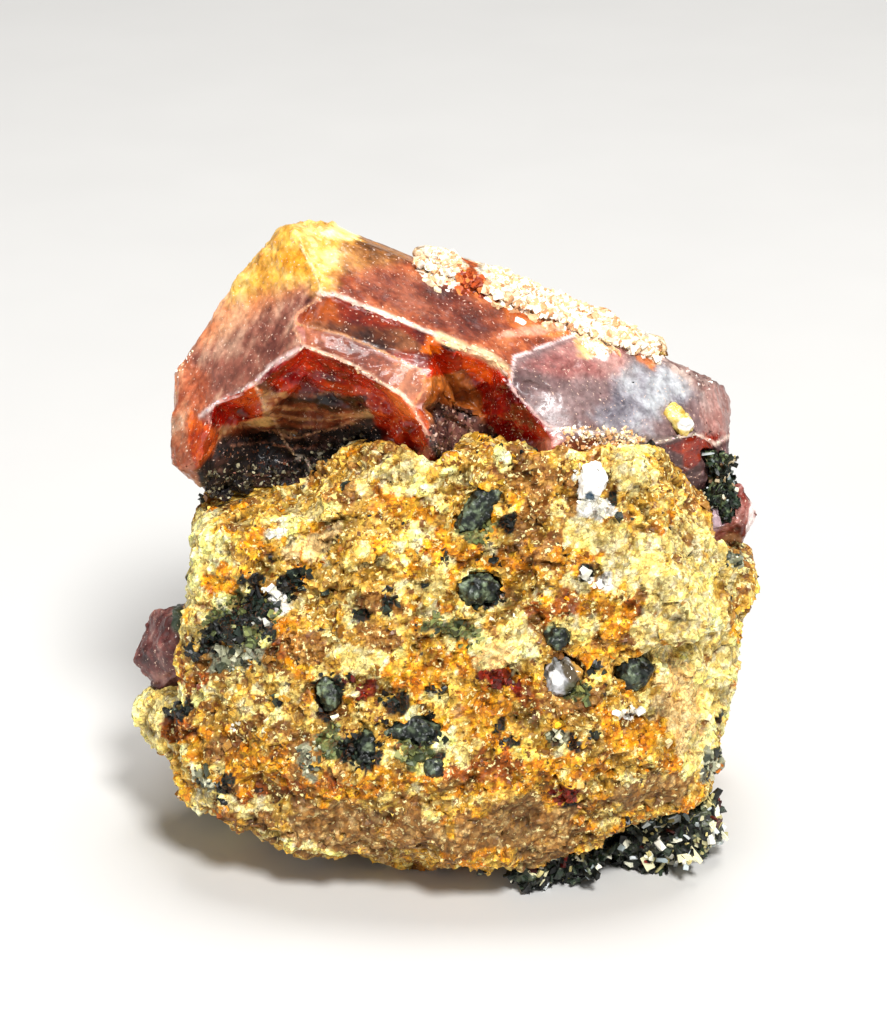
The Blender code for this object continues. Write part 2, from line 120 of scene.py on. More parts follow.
def copyOfNode(node, name):
    piece = addObject(name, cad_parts[node].data.copy())
    selectOnly(piece)
    bpy.ops.object.mode_set(mode="EDIT")
    bpy.ops.mesh.select_all(action="SELECT")
    bpy.ops.mesh.remove_doubles(threshold=1e-6)
    bpy.ops.object.mode_set(mode="OBJECT")
    piece.data.materials.clear()
    return piece


def applyModifiers(piece):
    selectOnly(piece)
    for modifier in list(piece.modifiers):
        bpy.ops.object.modifier_apply(modifier=modifier.name)


def readAll(items, key, kind=np.float64):
    flat = np.empty(len(items) * 3, kind)
    items.foreach_get(key, flat)
    return flat.reshape(-1, 3)


def pointsOf(mesh):
    return readAll(mesh.vertices, "co")


def normalsOf(mesh):
    return readAll(mesh.vertices, "normal", np.float32)


def facesOf(mesh):
    return readAll(mesh.polygons, "center"), readAll(mesh.polygons, "normal")


def insideBox(points):
    return np.clip(points, np.array(cadBox[0]), np.array(cadBox[1]))


# gives a piece its final points, kept inside the CAD model's box, and its finish
def finishPiece(piece, points, finish, angle):
    piece.data.vertices.foreach_set("co", insideBox(points).ravel())
    piece.data.update()
    piece.data.materials.append(finish)
    selectOnly(piece)
    bpy.ops.object.shade_smooth_by_angle(angle=math.radians(angle))


def bodyOf(piece):
    body = bmesh.new()
    body.from_mesh(piece.data)
    return body


def putBack(body, piece):
    body.to_mesh(piece.data)
    body.free()


def treeOf(piece):
    body = bodyOf(piece)
    tree = BVHTree.FromBMesh(body)
    body.free()
    return tree


def writeColour(mesh, name, colours):
    layer = mesh.color_attributes.new(name, "FLOAT_COLOR", "POINT")
    full = np.ones((len(colours), 4), np.float32)
    full[:, :3] = colours
    layer.data.foreach_set("color", full.ravel())


def writeValue(mesh, name, values):
    layer = mesh.attributes.new(name, "FLOAT", "POINT")
    layer.data.foreach_set("value", np.asarray(values, np.float32))


# Random patterns in space

# a random value from 0 to 1 for each cell of a lattice
def hashed(cells, seed):
    mixed = cells[:, 0] * 73856093 ^ cells[:, 1] * 19349663 ^ cells[:, 2] * 83492791 ^ (seed * 40503 + 97)
    mixed = ((mixed & 0xFFFFFFFF) ^ ((mixed & 0xFFFFFFFF) >> 15)) * 2246822519 & 0xFFFFFFFF
    mixed = (mixed ^ (mixed >> 13)) * 3266489917 & 0xFFFFFFFF
    return ((mixed ^ (mixed >> 16)) & 0xFFFFFF) / float(0xFFFFFF)


# a random direction for each cell, each part from -0.5 to 0.5
def hashedWay(cells, seed):
    return np.stack([hashed(cells, seed + axis) for axis in range(3)], axis=1) - 0.5


# smooth values from -1 to 1, size being the width of a swelling or its widths along three axes
def softNoise(points, size, seed):
    scaled = points / (np.array(size) * mm) + 1000.0
    base = np.floor(scaled).astype(np.int64)
    share = smoothStep(scaled - base)
    total = np.zeros(len(points))
    for corner in itertools.product((0, 1), repeat=3):
        weight = np.prod(np.where(corner, share, 1.0 - share), axis=1)
        total += weight * hashed(base + np.array(corner), seed)
    return total * 2.0 - 1.0


askew = np.array(Euler((0.7, 0.4, 1.1)).to_matrix())


# several sizes of soft noise added up, each half as wide as the last
def cloudNoise(points, size, seed, layers=4):
    total, height, turned = np.zeros(len(points)), 0.62, points
    for layer in range(layers):
        total += softNoise(turned, size / 2 ** layer, seed + layer * 31) * height
        height *= 0.62
        turned = turned @ askew
    return total


# packed random cells: place within the cell, the cell and its centre
def cellNoise(points, size, seed):
    scaled = points / (size * mm) + 1000.0
    base = np.floor(scaled).astype(np.int64)
    nearest, home, middle = np.full(len(points), 9.0), np.zeros_like(base), np.zeros_like(scaled)
    for step in itertools.product((-1, 0, 1), repeat=3):
        cell = base + np.array(step)
        centre = cell + 0.5 + 0.85 * hashedWay(cell, seed + 1)
        gap = np.linalg.norm(scaled - centre, axis=1)
        closer = gap < nearest
        nearest = np.where(closer, gap, nearest)
        home[closer] = cell[closer]
        middle[closer] = centre[closer]
    return scaled - middle, home, (middle - 1000.0) * size * mm


# the height in millimetres of a surface broken into tilted facets, one to a cell
def facetRise(points, size, seed, step, lean):
    offset, home, _ = cellNoise(points, size, seed)
    return (hashed(home, seed + 5) - 0.5) * step + (offset * hashedWay(home, seed + 6)).sum(axis=1) * lean


# Colours

# Grain colours of each kind of spot in the rock, as they look on a screen.
grainTints = {
    "sugar": ((246, 208, 96), (226, 170, 52), (204, 142, 24), (252, 230, 142), (172, 114, 16),
              (196, 150, 66), (236, 184, 84), (132, 84, 12), (244, 202, 84), (210, 150, 26)),
    "pale": ((255, 240, 164), (255, 230, 132), (255, 218, 104), (255, 246, 204), (248, 204, 86)),
    "orange": ((230, 146, 8), (210, 116, 2), (242, 174, 30), (196, 100, 2), (250, 200, 60)),
    "rust": ((168, 78, 10), (132, 56, 8), (196, 104, 20), (110, 44, 8), (206, 140, 44)),
    "brown": ((150, 96, 36), (120, 74, 26), (176, 126, 56), (198, 152, 76)),
    "garnet": ((112, 22, 8), (86, 16, 6), (150, 44, 14)),
    "dark": ((16, 20, 16), (26, 36, 28), (10, 10, 9), (38, 50, 40), (6, 6, 6)),
    "moss": ((84, 92, 50), (108, 114, 66), (58, 66, 40), (136, 136, 76)),
    "slate": ((136, 138, 108), (176, 176, 146), (70, 76, 58), (226, 224, 190), (36, 42, 32)),
    "white": ((250, 248, 232), (240, 232, 206), (255, 255, 250)),
    "pink": ((250, 212, 140), (240, 190, 112), (254, 228, 166), (232, 172, 90)),
    "facet": ((148, 102, 42), (116, 74, 24), (186, 142, 80), (134, 86, 28), (210, 170, 102), (104, 62, 18),
              (164, 116, 52), (128, 84, 34), (150, 96, 30), (228, 194, 130)),
    "crust": ((255, 244, 220), (250, 226, 184), (238, 202, 148), (255, 250, 236), (228, 174, 118)),
    "ember": ((206, 96, 40), (176, 72, 30), (226, 130, 66), (150, 56, 24)),
}

# Spots of the rock face, a later one over an earlier one: across, up, half width and half height of
# each, and its turn in degrees where it has one.
rockSpots = (
    ("pale", (
        (-16.2, -3.2, 1.6, 3.2, 10), (-17.7, -5.6, 1.1, 3.5), (-3.6, 2.4, 2.8, 1.8, 10),
        (16.6, -3.7, 4.4, 2.7), (13.4, -3.2, 2.4, 2.3), (5.3, -9.0, 1.3, 1.7), (19.0, -10.9, 1.7, 4.2),
        (13.3, 3.0, 1.5, 1.7), (-10.5, -0.6, 3.0, 0.8, 25), (16.8, -8.4, 3.6, 3.4), (10.6, -5.4, 2.4, 1.0),
        (8.4, -7.9, 1.6, 1.2), (17.6, -14.6, 1.2, 3.4, -8), (-19.6, -14.0, 1.6, 2.6), (-5.4, -9.9, 2.0, 0.9),
        (-14.5, -20.4, 3.6, 0.7, -12), (-17.8, -12.6, 0.8, 1.6))),
    ("pink", ((3.5, -10.0, 1.2, 1.0), (16.4, -13.7, 1.7, 3.2), (-9.0, -2.0, 2.4, 0.8, 20))),
    ("brown", (
        (6.2, -1.3, 2.0, 2.4), (-5.0, -6.3, 1.8, 0.5, -10), (-4.6, -8.7, 1.4, 0.7), (9.0, -12.6, 2.0, 1.6),
        (-10.5, -9.8, 2.4, 1.4), (5.6, 2.8, 2.6, 0.8), (-14.8, -16.6, 2.0, 1.2), (9.4, 1.6, 1.6, 1.4))),
    ("orange", (
        (-9.5, -13.2, 0.7, 1.2, 10), (-9.8, -11.4, 1.0, 0.6, -20), (12.6, -7.5, 0.9, 1.7, -35),
        (10.7, -10.0, 1.7, 0.5, 5), (13.2, -15.4, 2.3, 1.5, -15), (0.8, -10.2, 1.6, 0.9),
        (11.0, -6.5, 2.8, 1.2, 10), (-1.6, -11.6, 2.6, 0.9, -10), (-4.6, -19.0, 5.2, 0.9, 4),
        (0.6, -3.4, 1.6, 1.1), (-15.4, -5.0, 1.2, 1.0), (2.8, -14.0, 1.4, 2.2, 20), (-3.2, 0.4, 2.0, 0.9, -20),
        (-13.6, -17.4, 1.6, 1.4), (7.0, -18.2, 4.2, 0.8, 6))),
    ("rust", (
        (-17.5, -11.7, 1.0, 0.8, 10), (-11.8, -9.0, 0.5, 0.8), (-18.3, -15.2, 1.2, 0.9),
        (5.7, -13.4, 0.8, 1.0, -50), (7.6, -6.8, 1.4, 0.8), (3.1, -18.0, 2.4, 1.1, 10), (13.2, -6.6, 0.4, 0.4),
        (-10.5, -19.4, 3.4, 0.5, 12))),
    ("garnet", (
        (-6.4, -11.7, 0.5, 0.3), (-5.7, -12.6, 0.5, 0.4), (3.9, -11.9, 1.6, 0.5, -30),
        (8.6, -19.7, 0.9, 0.5, 5))),
    ("moss", (
        (-0.5, -7.8, 0.9, 0.8), (-7.5, -16.3, 1.1, 1.2), (2.6, -1.5, 0.9, 1.0), (1.7, -8.6, 1.0, 0.8),
        (9.4, -12.7, 1.0, 0.7, -15))),
    ("pale", ((-17.8, -1.8, 0.8, 1.9),)),
    ("moss", ((-14.4, -7.6, 2.6, 1.5, 15), (-1.8, -16.7, 1.3, 0.9))),
    ("slate", (
        (-16.9, -18.6, 0.7, 0.6), (-9.4, -17.0, 0.8, 1.2), (7.9, -15.6, 0.7, 0.5), (20.3, -3.4, 0.6, 0.5),
        (18.6, -17.7, 0.7, 1.2), (-14.8, -10.2, 2.0, 0.9))),
    ("white", (
        (-11.6, -6.0, 1.0, 0.4, -40), (-12.7, -8.1, 0.6, 0.6), (-14.6, -15.1, 0.4, 0.4),
        (-12.0, -1.3, 0.7, 0.3), (13.1, -14.0, 0.9, 0.5), (10.4, -4.9, 1.4, 0.3, -10),
        (9.7, 2.2, 0.5, 1.2, 14), (10.5, 0.5, 1.2, 0.7, -12))),
    ("pale", ((10.2, -1.6, 1.8, 1.1),)),
    ("dark", (
        (-13.4, -4.5, 0.6, 0.6), (-10.6, -4.9, 1.1, 1.0, -30), (-13.4, -6.8, 1.6, 1.0, 10),
        (-15.4, -8.2, 1.6, 0.8, 20), (-17.2, -9.6, 1.0, 0.7), (-12.4, -8.5, 0.6, 0.5),
        (-3.9, -6.0, 0.5, 0.8, 10), (0.1, -3.3, 0.4, 0.5), (-6.1, -7.3, 0.5, 0.25, -5),
        (-8.2, -12.4, 0.7, 1.6, -10), (-11.5, -13.2, 0.4, 0.5), (-18.5, -13.9, 0.7, 0.6),
        (-3.7, -13.0, 1.1, 0.6, -8), (-0.3, -12.5, 0.6, 0.5, -30), (-0.8, -14.1, 0.5, 0.4),
        (-2.1, -15.3, 2.5, 0.7, -12), (-0.5, -17.7, 0.6, 0.9), (-5.6, -16.9, 1.4, 1.2, -20),
        (-15.6, -19.6, 0.6, 1.0, 10), (4.7, -0.5, 0.5, 0.3, 40), (4.1, -3.2, 0.4, 0.4),
        (2.8, -5.5, 1.3, 1.1, 10), (10.6, -10.9, 0.5, 0.7), (9.8, -4.1, 0.5, 0.25, -20),
        (3.7, -15.3, 0.4, 0.5), (4.8, -16.1, 0.5, 0.4), (10.4, -15.4, 0.6, 0.4, 15), (-2.8, -0.7, 0.25, 0.3),
        (-3.7, 2.4, 0.3, 0.2), (-17.9, -4.7, 0.3, 0.3))),
    ("pale", ((-20.7, -13.4, 1.3, 3.2),)),
    ("facet", (
        (-3.0, -22.6, 8.6, 1.5), (6.4, -22.2, 3.6, 2.2, -20), (14.6, -19.6, 3.6, 0.8, 16),
        (-8.6, -21.2, 3.0, 1.0))),
)

# Zones of the crystal's display side, a later one over an earlier one: dark, middle and light tint,
# then roughness, glow (emission, painted light standing in for light shining through the crystal),
# unevenness in millimetres, softness and raggedness of the edge and strength of the streaks, and the outline.
crystalZones = {
    "top face": (((84, 34, 18), (144, 64, 35), (194, 112, 68)), (0.3, 0.03, 0.05, 0.3), (
        (-7.6, 15.4), (-7.1, 19.0), (-4.7, 20.4), (-0.9, 18.6), (6.1, 16.3), (12.7, 13.6), (4.8, 9.2),
        (3.5, 10.8), (-0.3, 12.3), (-2.9, 13.4), (-6.0, 14.6))),
    "olive shade": (((89, 51, 18), (148, 91, 42), (193, 134, 71)), (0.3, 0.0, 0.05, 1.0), (
        (-7.2, 16.6), (-7.0, 19.3), (-4.7, 20.2), (-2.6, 18.9), (-2.2, 17.6), (-4.8, 17.2))),
    "plum shade": (((66, 23, 18), (110, 48, 33), (160, 88, 62)), (0.3, 0.0, 0.05, 1.2), (
        (-6.0, 15.4), (-5.2, 17.0), (-1.6, 16.4), (1.8, 15.0), (4.0, 12.8), (1.6, 12.0), (-2.0, 13.8))),
    "orange shade": (((147, 51, 23), (214, 96, 44), (249, 157, 91)), (0.24, 0.1, 0.05, 0.6), (
        (-0.8, 16.2), (0.0, 17.0), (2.2, 16.6), (6.2, 15.0), (5.6, 14.2), (2.4, 15.2))),
    "orange facet": (((154, 70, 27), (198, 104, 48), (231, 160, 97)), (0.24, 0.08, 0.04, 0.25), (
        (4.0, 14.8), (6.0, 14.7), (9.0, 13.2), (9.2, 12.4), (5.2, 12.2), (4.6, 13.2))),
    "bright streak": (((192, 98, 72), (222, 144, 114), (240, 181, 156)), (0.3, 0.04, 0.05, 0.3), (
        (3.8, 12.2), (4.4, 12.7), (8.6, 13.5), (9.0, 13.0), (6.4, 12.3))),
    # left face: the crystal's colour with a painted pinkish sheen of reflected light
    "left face": (((96, 48, 40), (142, 84, 68), (196, 150, 124)), (0.4, 0.0, 0.1, 0.35, 0.22, 0.8), (
        (-8.6, 15.3), (-12.7, 15.4), (-14.2, 14.4), (-17.6, 12.0), (-19.4, 9.5), (-18.9, 5.9), (-17.0, 6.7),
        (-16.0, 7.6), (-13.2, 9.1), (-12.0, 10.3), (-9.8, 11.6), (-10.4, 12.7), (-10.3, 13.8))),
    "left rim": (((140, 58, 33), (187, 103, 69), (223, 160, 120)), (0.3, 0.03, 0.16, 1.0, 0.22, 0.3), (
        (-19.9, 11.0), (-18.2, 11.0), (-16.6, 9.6), (-16.4, 7.8), (-17.4, 5.4), (-19.8, 5.4))),
    # painted highlight: the upper rim of the left face is paler where the light falls on it
    "left upper rim": (((175, 91, 56), (208, 128, 85), (226, 164, 122)), (0.3, 0.05, 0.12, 1.6, 0.5), (
        (-19.0, 11.0), (-17.6, 12.9), (-14.2, 16.6), (-10.0, 15.6), (-12.6, 14.2), (-15.0, 12.6))),
    "honey tip": (((184, 116, 34), (224, 166, 66), (244, 212, 132)), (0.3, 0.1, 0.32, 1.5, 0.5), (
        (-14.6, 14.6), (-15.2, 16.4), (-13.2, 18.0), (-12.1, 19.4), (-11.4, 20.2), (-9.6, 20.7), (-9.0, 21.3),
        (-7.5, 21.2), (-5.5, 20.9), (-4.4, 20.4), (-6.9, 19.0), (-7.6, 15.8), (-8.6, 15.4), (-10.7, 15.8),
        (-12.7, 15.6))),
    "honey core": (((172, 92, 8), (216, 139, 35), (238, 176, 66)), (0.2, 0.12, 0.2, 0.7), (
        (-12.0, 17.9), (-10.2, 18.6), (-9.0, 17.4), (-9.1, 16.4), (-11.2, 16.8))),
    "white glint": (((249, 205, 104), (254, 237, 157), (254, 244, 175)), (0.3, 0.35, 0.1, 0.35), (
        (-8.6, 19.7), (-6.6, 20.2), (-5.4, 20.1), (-5.6, 19.4), (-7.2, 19.0), (-8.2, 19.2))),
    "riser": (((50, 3, 1), (94, 12, 3), (144, 44, 10)), (0.4, 0.06, 0.08, 0.25), (
        (-8.6, 15.2), (-6.0, 14.4), (-2.9, 13.2), (-0.3, 12.1), (1.9, 11.0), (-0.2, 9.6), (-1.3, 9.8),
        (-4.4, 11.3), (-7.2, 12.4), (-10.0, 13.1), (-9.9, 14.0))),
    "riser left": (((89, 25, 3), (136, 51, 13), (176, 85, 34)), (0.2, 0.08, 0.06, 0.6), (
        (-8.8, 15.0), (-7.6, 15.0), (-7.2, 13.2), (-8.4, 12.4), (-10.2, 12.9), (-10.2, 13.8))),
    "dusty band": (((48, 16, 6), (102, 46, 20), (156, 94, 57)), (0.4, 0.02, 0.1, 0.5), (
        (-10.0, 13.2), (-8.0, 13.4), (-5.0, 12.9), (-2.8, 12.6), (-1.2, 11.2), (-4.4, 11.3), (-7.4, 12.2))),
    "tread": (((96, 34, 16), (138, 62, 34), (184, 112, 76)), (0.6, 0.0, 0.05, 0.2), (
        (-10.0, 13.0), (-7.2, 12.2), (-4.4, 11.0), (-1.3, 9.7), (-0.9, 7.8), (-2.1, 7.4), (-3.0, 8.3),
        (-4.4, 9.1), (-6.0, 10.1), (-7.5, 10.8), (-9.8, 11.6))),
    "first wall": (((76, 1, 1), (138, 7, 2), (204, 44, 8)), (0.12, 0.3, 0.12, 0.2), (
        (-9.8, 11.5), (-7.5, 10.6), (-6.0, 9.9), (-4.4, 9.0), (-3.0, 8.2), (-5.0, 7.9), (-7.9, 8.2),
        (-11.1, 8.3), (-13.0, 9.4), (-12.0, 10.2))),
    "first wall foot": (((108, 12, 2), (172, 43, 9), (209, 76, 27)), (0.12, 0.25, 0.1, 0.5), (
        (-11.8, 9.0), (-8.4, 9.0), (-5.0, 8.8), (-4.6, 8.2), (-8.0, 8.3), (-11.0, 8.4))),
    "ledges": (((47, 16, 13), (150, 72, 41), (255, 214, 140)), (0.4, 0.02, 0.16, 0.35, 0.22, 1.0), (
        (-12.9, 8.4), (-7.9, 8.2), (-4.8, 7.9), (-4.6, 6.4), (-6.9, 5.9), (-10.0, 5.2), (-16.4, 4.8),
        (-16.2, 6.0))),
    "dark ledge": (((11, 1, 1), (49, 4, 4), (114, 33, 21)), (0.3, 0.04, 0.1, 0.3, 0.22, 0.6), (
        (-9.0, 8.2), (-5.2, 8.2), (-5.0, 7.0), (-8.8, 7.1))),
    "left facet": (((119, 22, 2), (181, 55, 8), (211, 89, 27)), (0.18, 0.18, 0.08, 0.2), (
        (-13.3, 9.1), (-12.7, 8.4), (-12.6, 6.6), (-14.6, 6.0), (-16.3, 6.1), (-16.2, 7.6), (-14.7, 8.3))),
    "left facet foot": (((81, 1, 1), (148, 12, 2), (205, 36, 7)), (0.14, 0.22, 0.08, 0.35), (
        (-16.4, 7.4), (-15.4, 7.8), (-14.0, 7.4), (-13.4, 6.4), (-16.2, 5.8))),
    # near-black in the hollow below the crystal: partly its dark fracture, partly painted shade
    "dark fill": (((3, 2, 4), (19, 11, 13), (86, 52, 45)), (0.75, 0.0, 0.16, 0.5, 0.22, 0.5), (
        (-16.9, 5.2), (-12.7, 5.6), (-6.9, 5.9), (-5.2, 6.8), (-4.0, 6.2), (-4.6, 4.6), (-7.0, 2.0),
        (-10.5, 0.7), (-12.0, -0.6), (-14.3, -1.2), (-17.2, -0.6), (-17.3, 2.9))),
    "left foot": (((150, 44, 12), (221, 103, 36), (255, 177, 103)), (0.24, 0.12, 0.15, 0.4), (
        (-17.6, 7.0), (-16.6, 6.2), (-15.6, 5.4), (-16.0, 4.2), (-17.2, 3.0), (-18.2, 3.6), (-18.2, 5.4))),
    "left strip": (((136, 66, 42), (174, 113, 81), (201, 177, 152)), (0.3, 0.04, 0.18, 0.35), (
        (-18.4, 7.0), (-18.0, 5.4), (-17.4, 3.2), (-16.8, 1.4), (-17.2, -0.4), (-18.1, 0.4), (-19.4, 2.7),
        (-19.8, 4.3), (-19.5, 5.8))),
    "pillar": (((81, 6, 2), (152, 29, 7), (206, 91, 37)), (0.14, 0.2, 0.1, 0.25), (
        (-5.0, 8.6), (-3.0, 8.3), (-1.6, 7.1), (-0.2, 5.0), (-1.6, 4.4), (-3.3, 4.6), (-4.6, 6.2), (-5.4, 7.6))),
    "olive hollow": (((71, 26, 5), (139, 67, 18), (203, 119, 49)), (0.35, 0.03, 0.16, 0.4), (
        (-1.3, 9.6), (1.3, 9.8), (3.3, 9.2), (3.1, 6.4), (1.9, 4.6), (-0.4, 4.6), (-1.3, 7.1))),
    "right wall": (((74, 1, 1), (122, 6, 2), (164, 30, 7)), (0.12, 0.24, 0.1, 0.3), (
        (1.2, 11.5), (3.6, 10.5), (4.8, 9.1), (5.4, 8.0), (6.7, 6.6), (7.6, 5.3), (5.4, 4.3), (3.3, 5.2),
        (2.6, 7.8), (1.9, 9.6))),
    "ember band": (((124, 11, 2), (184, 36, 3), (216, 84, 9)), (0.12, 0.4, 0.08, 0.3), (
        (0.8, 11.2), (2.4, 11.0), (4.0, 10.0), (4.4, 8.8), (2.8, 9.0), (1.4, 10.0))),
    "red notch": (((78, 4, 1), (130, 15, 3), (183, 42, 7)), (0.12, 0.2, 0.08, 0.2), (
        (-1.1, 9.5), (-0.5, 11.5), (0.8, 11.2), (1.5, 10.1), (0.1, 9.4))),
    "gold notch": (((168, 53, 3), (207, 90, 9), (226, 132, 33)), (0.12, 0.36, 0.06, 0.2), (
        (-1.6, 11.1), (-1.1, 12.3), (0.1, 12.0), (-0.3, 11.1))),
    "brown hollow": (((9, 3, 4), (49, 21, 19), (128, 82, 73)), (0.55, 0.0, 0.16, 0.6), (
        (-0.6, 7.6), (1.3, 7.4), (3.4, 5.9), (4.6, 4.2), (2.2, 3.6), (1.7, 2.3), (0.9, 2.3), (-0.6, 3.6),
        (-1.2, 4.8))),
    # right face: painted lilac-grey reflection of the light over the crystal's colour
    "right face": (((103, 76, 76), (126, 101, 99), (150, 129, 127)), (0.3, 0.0, 0.05, 0.12), (
        (4.8, 9.2), (4.9, 10.8), (8.0, 12.0), (9.3, 12.4), (11.0, 13.4), (12.8, 13.5), (17.6, 10.8),
        (19.6, 9.7), (21.2, 6.4), (21.0, 5.6), (19.1, 4.8), (17.6, 5.3), (14.5, 4.5), (12.0, 4.9), (8.8, 5.2),
        (7.4, 5.8), (6.7, 6.6), (5.4, 8.0))),
    "rose shade": (((118, 64, 61), (156, 100, 94), (183, 138, 129)), (0.3, 0.02, 0.07, 0.9), (
        (5.4, 10.2), (8.0, 11.6), (10.8, 12.8), (13.0, 11.6), (12.6, 9.4), (8.6, 9.4))),
    # painted blue-grey reflection of the light on the right face
    "painted blue reflection": (((98, 92, 100), (146, 142, 148), (186, 188, 190)), (0.24, 0.0, 0.18, 1.7, 0.9), (
        (12.0, 9.6), (13.8, 10.4), (17.2, 9.8), (17.4, 8.0), (15.5, 6.9), (14.5, 5.7), (11.4, 5.9),
        (10.8, 7.1), (12.4, 8.5))),
    "pitted top": (((58, 40, 36), (132, 99, 92), (201, 177, 165)), (0.4, 0.0, 0.24, 0.5), (
        (12.7, 13.8), (14.6, 12.6), (17.6, 11.0), (19.8, 8.9), (18.2, 7.8), (17.0, 9.4), (14.5, 10.8),
        (12.5, 11.6))),
    "right end": (((117, 71, 65), (161, 113, 104), (191, 158, 149)), (0.3, 0.02, 0.14, 0.4), (
        (18.2, 8.8), (19.8, 8.8), (21.2, 6.4), (20.4, 5.2), (18.4, 5.2), (17.8, 6.8))),
    "crust": (((224, 169, 124), (248, 226, 202), (253, 248, 248)), (0.7, 0.04, 0.22, 0.5, 0.9), (
        (6.0, 16.0), (6.9, 14.4), (8.3, 13.4), (9.4, 12.8), (9.6, 11.9), (10.6, 10.8), (11.9, 11.2),
        (12.0, 12.0), (13.8, 12.4), (14.2, 13.2), (11.0, 15.4), (8.6, 16.0))),
    "crust spot": (((200, 123, 58), (224, 173, 106), (235, 200, 155)), (0.6, 0.04, 0.14, 0.4, 0.5), (
        (9.2, 12.2), (9.9, 12.0), (10.6, 11.0), (10.3, 10.5), (9.4, 11.2))),
    "ember spot": (((165, 74, 31), (208, 119, 66), (233, 181, 137)), (0.4, 0.06, 0.12, 0.3, 0.4), (
        (13.0, 11.6), (14.0, 11.7), (15.2, 10.6), (14.8, 10.0), (13.8, 10.8))),
    "underside": (((37, 19, 19), (90, 59, 58), (138, 112, 115)), (0.4, 0.0, 0.14, 0.2, 0.22, 0.7), (
        (14.3, 4.7), (17.6, 5.3), (19.1, 4.7), (20.9, 5.4), (21.2, 2.2), (19.4, -0.6), (17.3, -1.6),
        (15.1, -0.6), (13.2, 0.8), (13.6, 3.2))),
    "flame": (((91, 13, 2), (142, 37, 7), (175, 73, 33)), (0.16, 0.2, 0.08, 0.3), (
        (15.4, 4.6), (17.6, 5.3), (19.6, 5.6), (18.8, 4.4), (17.4, 3.2), (16.8, 2.8), (16.8, 4.0))),
}

# Bright lines along the crystal's broken edges and cracks, partly their pale broken stone and partly painted
# highlight where the edges catch the light: half width, tint, strength and places.
crystalLines = (
    (0.16, (255, 226, 206), 0.95, ((-8.6, 15.3), (-7.5, 15.2), (-6.0, 14.6), (-2.9, 13.4), (-0.3, 12.3))),
    (0.34, (252, 214, 164), 0.9, ((-0.3, 12.3), (1.6, 11.4), (3.2, 10.9), (4.4, 9.9))),
    (0.1, (240, 150, 100), 0.8, ((4.4, 9.9), (4.8, 9.2))),
    (0.13, (252, 210, 180), 0.95, (
        (-9.8, 11.6), (-7.5, 10.8), (-6.0, 10.1), (-4.4, 9.1), (-3.0, 8.3), (-2.1, 7.4))),
    (0.1, (236, 170, 130), 0.8, ((-8.6, 15.1), (-10.3, 13.8), (-10.4, 12.7), (-9.8, 11.6))),
    (0.14, (236, 214, 206), 0.7, (
        (-9.8, 11.6), (-12.0, 10.3), (-13.2, 9.1), (-14.7, 8.2), (-16.0, 7.6), (-17.0, 6.7))),
    (0.12, (250, 196, 170), 0.9, ((-2.1, 7.4), (-1.9, 6.8), (-1.0, 5.0))),
    (0.08, (226, 160, 110), 0.7, ((-10.4, 13.2), (-7.0, 12.4), (-4.2, 11.2), (-1.5, 9.9))),
    (0.1, (222, 140, 90), 0.7, ((-1.2, 9.9), (-1.4, 8.6), (-2.1, 7.4))),
    (0.1, (240, 210, 206), 0.95, ((4.6, 8.8), (4.8, 9.2), (4.9, 10.8), (8.0, 12.0), (9.3, 12.4))),
    (0.09, (226, 184, 176), 0.9, ((4.8, 8.9), (5.4, 8.0), (6.7, 6.6), (7.4, 6.0), (8.8, 5.7))),
    (0.12, (250, 226, 206), 0.7, ((8.8, 5.7), (12.0, 5.6), (14.5, 4.8), (17.6, 5.5), (19.1, 4.8), (20.5, 5.6))),
    (0.08, (232, 190, 150), 0.8, ((-13.2, 9.1), (-12.7, 7.9), (-12.1, 6.8), (-11.2, 5.0), (-10.3, 3.8))),
    (0.15, (240, 226, 206), 0.9, ((-10.3, 3.8), (-9.6, 3.6), (-9.1, 2.9), (-8.9, 2.2))),
    (0.08, (250, 230, 170), 0.7, ((-10.0, 18.7), (-9.2, 17.0), (-8.5, 15.4))),
    (0.06, (210, 150, 90), 0.6, ((-7.1, 19.0), (-7.4, 17.0), (-7.6, 15.4))),
    (0.07, (226, 170, 120), 0.6, ((-12.6, 6.8), (-10.4, 6.6), (-8.6, 6.4), (-6.6, 6.6), (-5.2, 7.2))),
    (0.07, (216, 160, 110), 0.6, ((-12.4, 7.4), (-10.6, 7.3), (-8.8, 7.1))),
    (0.09, (226, 170, 130), 0.6, (
        (-15.6, 5.9), (-13.6, 6.1), (-12.2, 5.6), (-10.4, 5.2), (-7.4, 5.9), (-5.6, 6.8))),
    (0.06, (190, 130, 100), 0.5, ((-15.0, 4.6), (-12.4, 4.9), (-10.6, 4.4), (-8.8, 4.5))),
    (0.06, (180, 130, 110), 0.5, ((-15.6, 2.9), (-13.8, 2.6), (-11.4, 2.5), (-10.0, 2.9))),
    (0.06, (206, 170, 160), 0.6, ((13.4, 2.2), (15.2, 3.6), (17.2, 3.0))),
    (0.05, (190, 150, 140), 0.5, ((13.6, 1.4), (15.6, 2.6), (17.6, 2.4), (19.2, 3.6))),
)


# distance from each place to the straight line between two others
def toLine(across, up, start, end):
    (x0, y0), (x1, y1) = start, end
    length = (x1 - x0) ** 2 + (y1 - y0) ** 2
    along = np.clip(((across - x0) * (x1 - x0) + (up - y0) * (y1 - y0)) / length, 0.0, 1.0)
    return np.hypot(across - x0 - along * (x1 - x0), up - y0 - along * (y1 - y0))


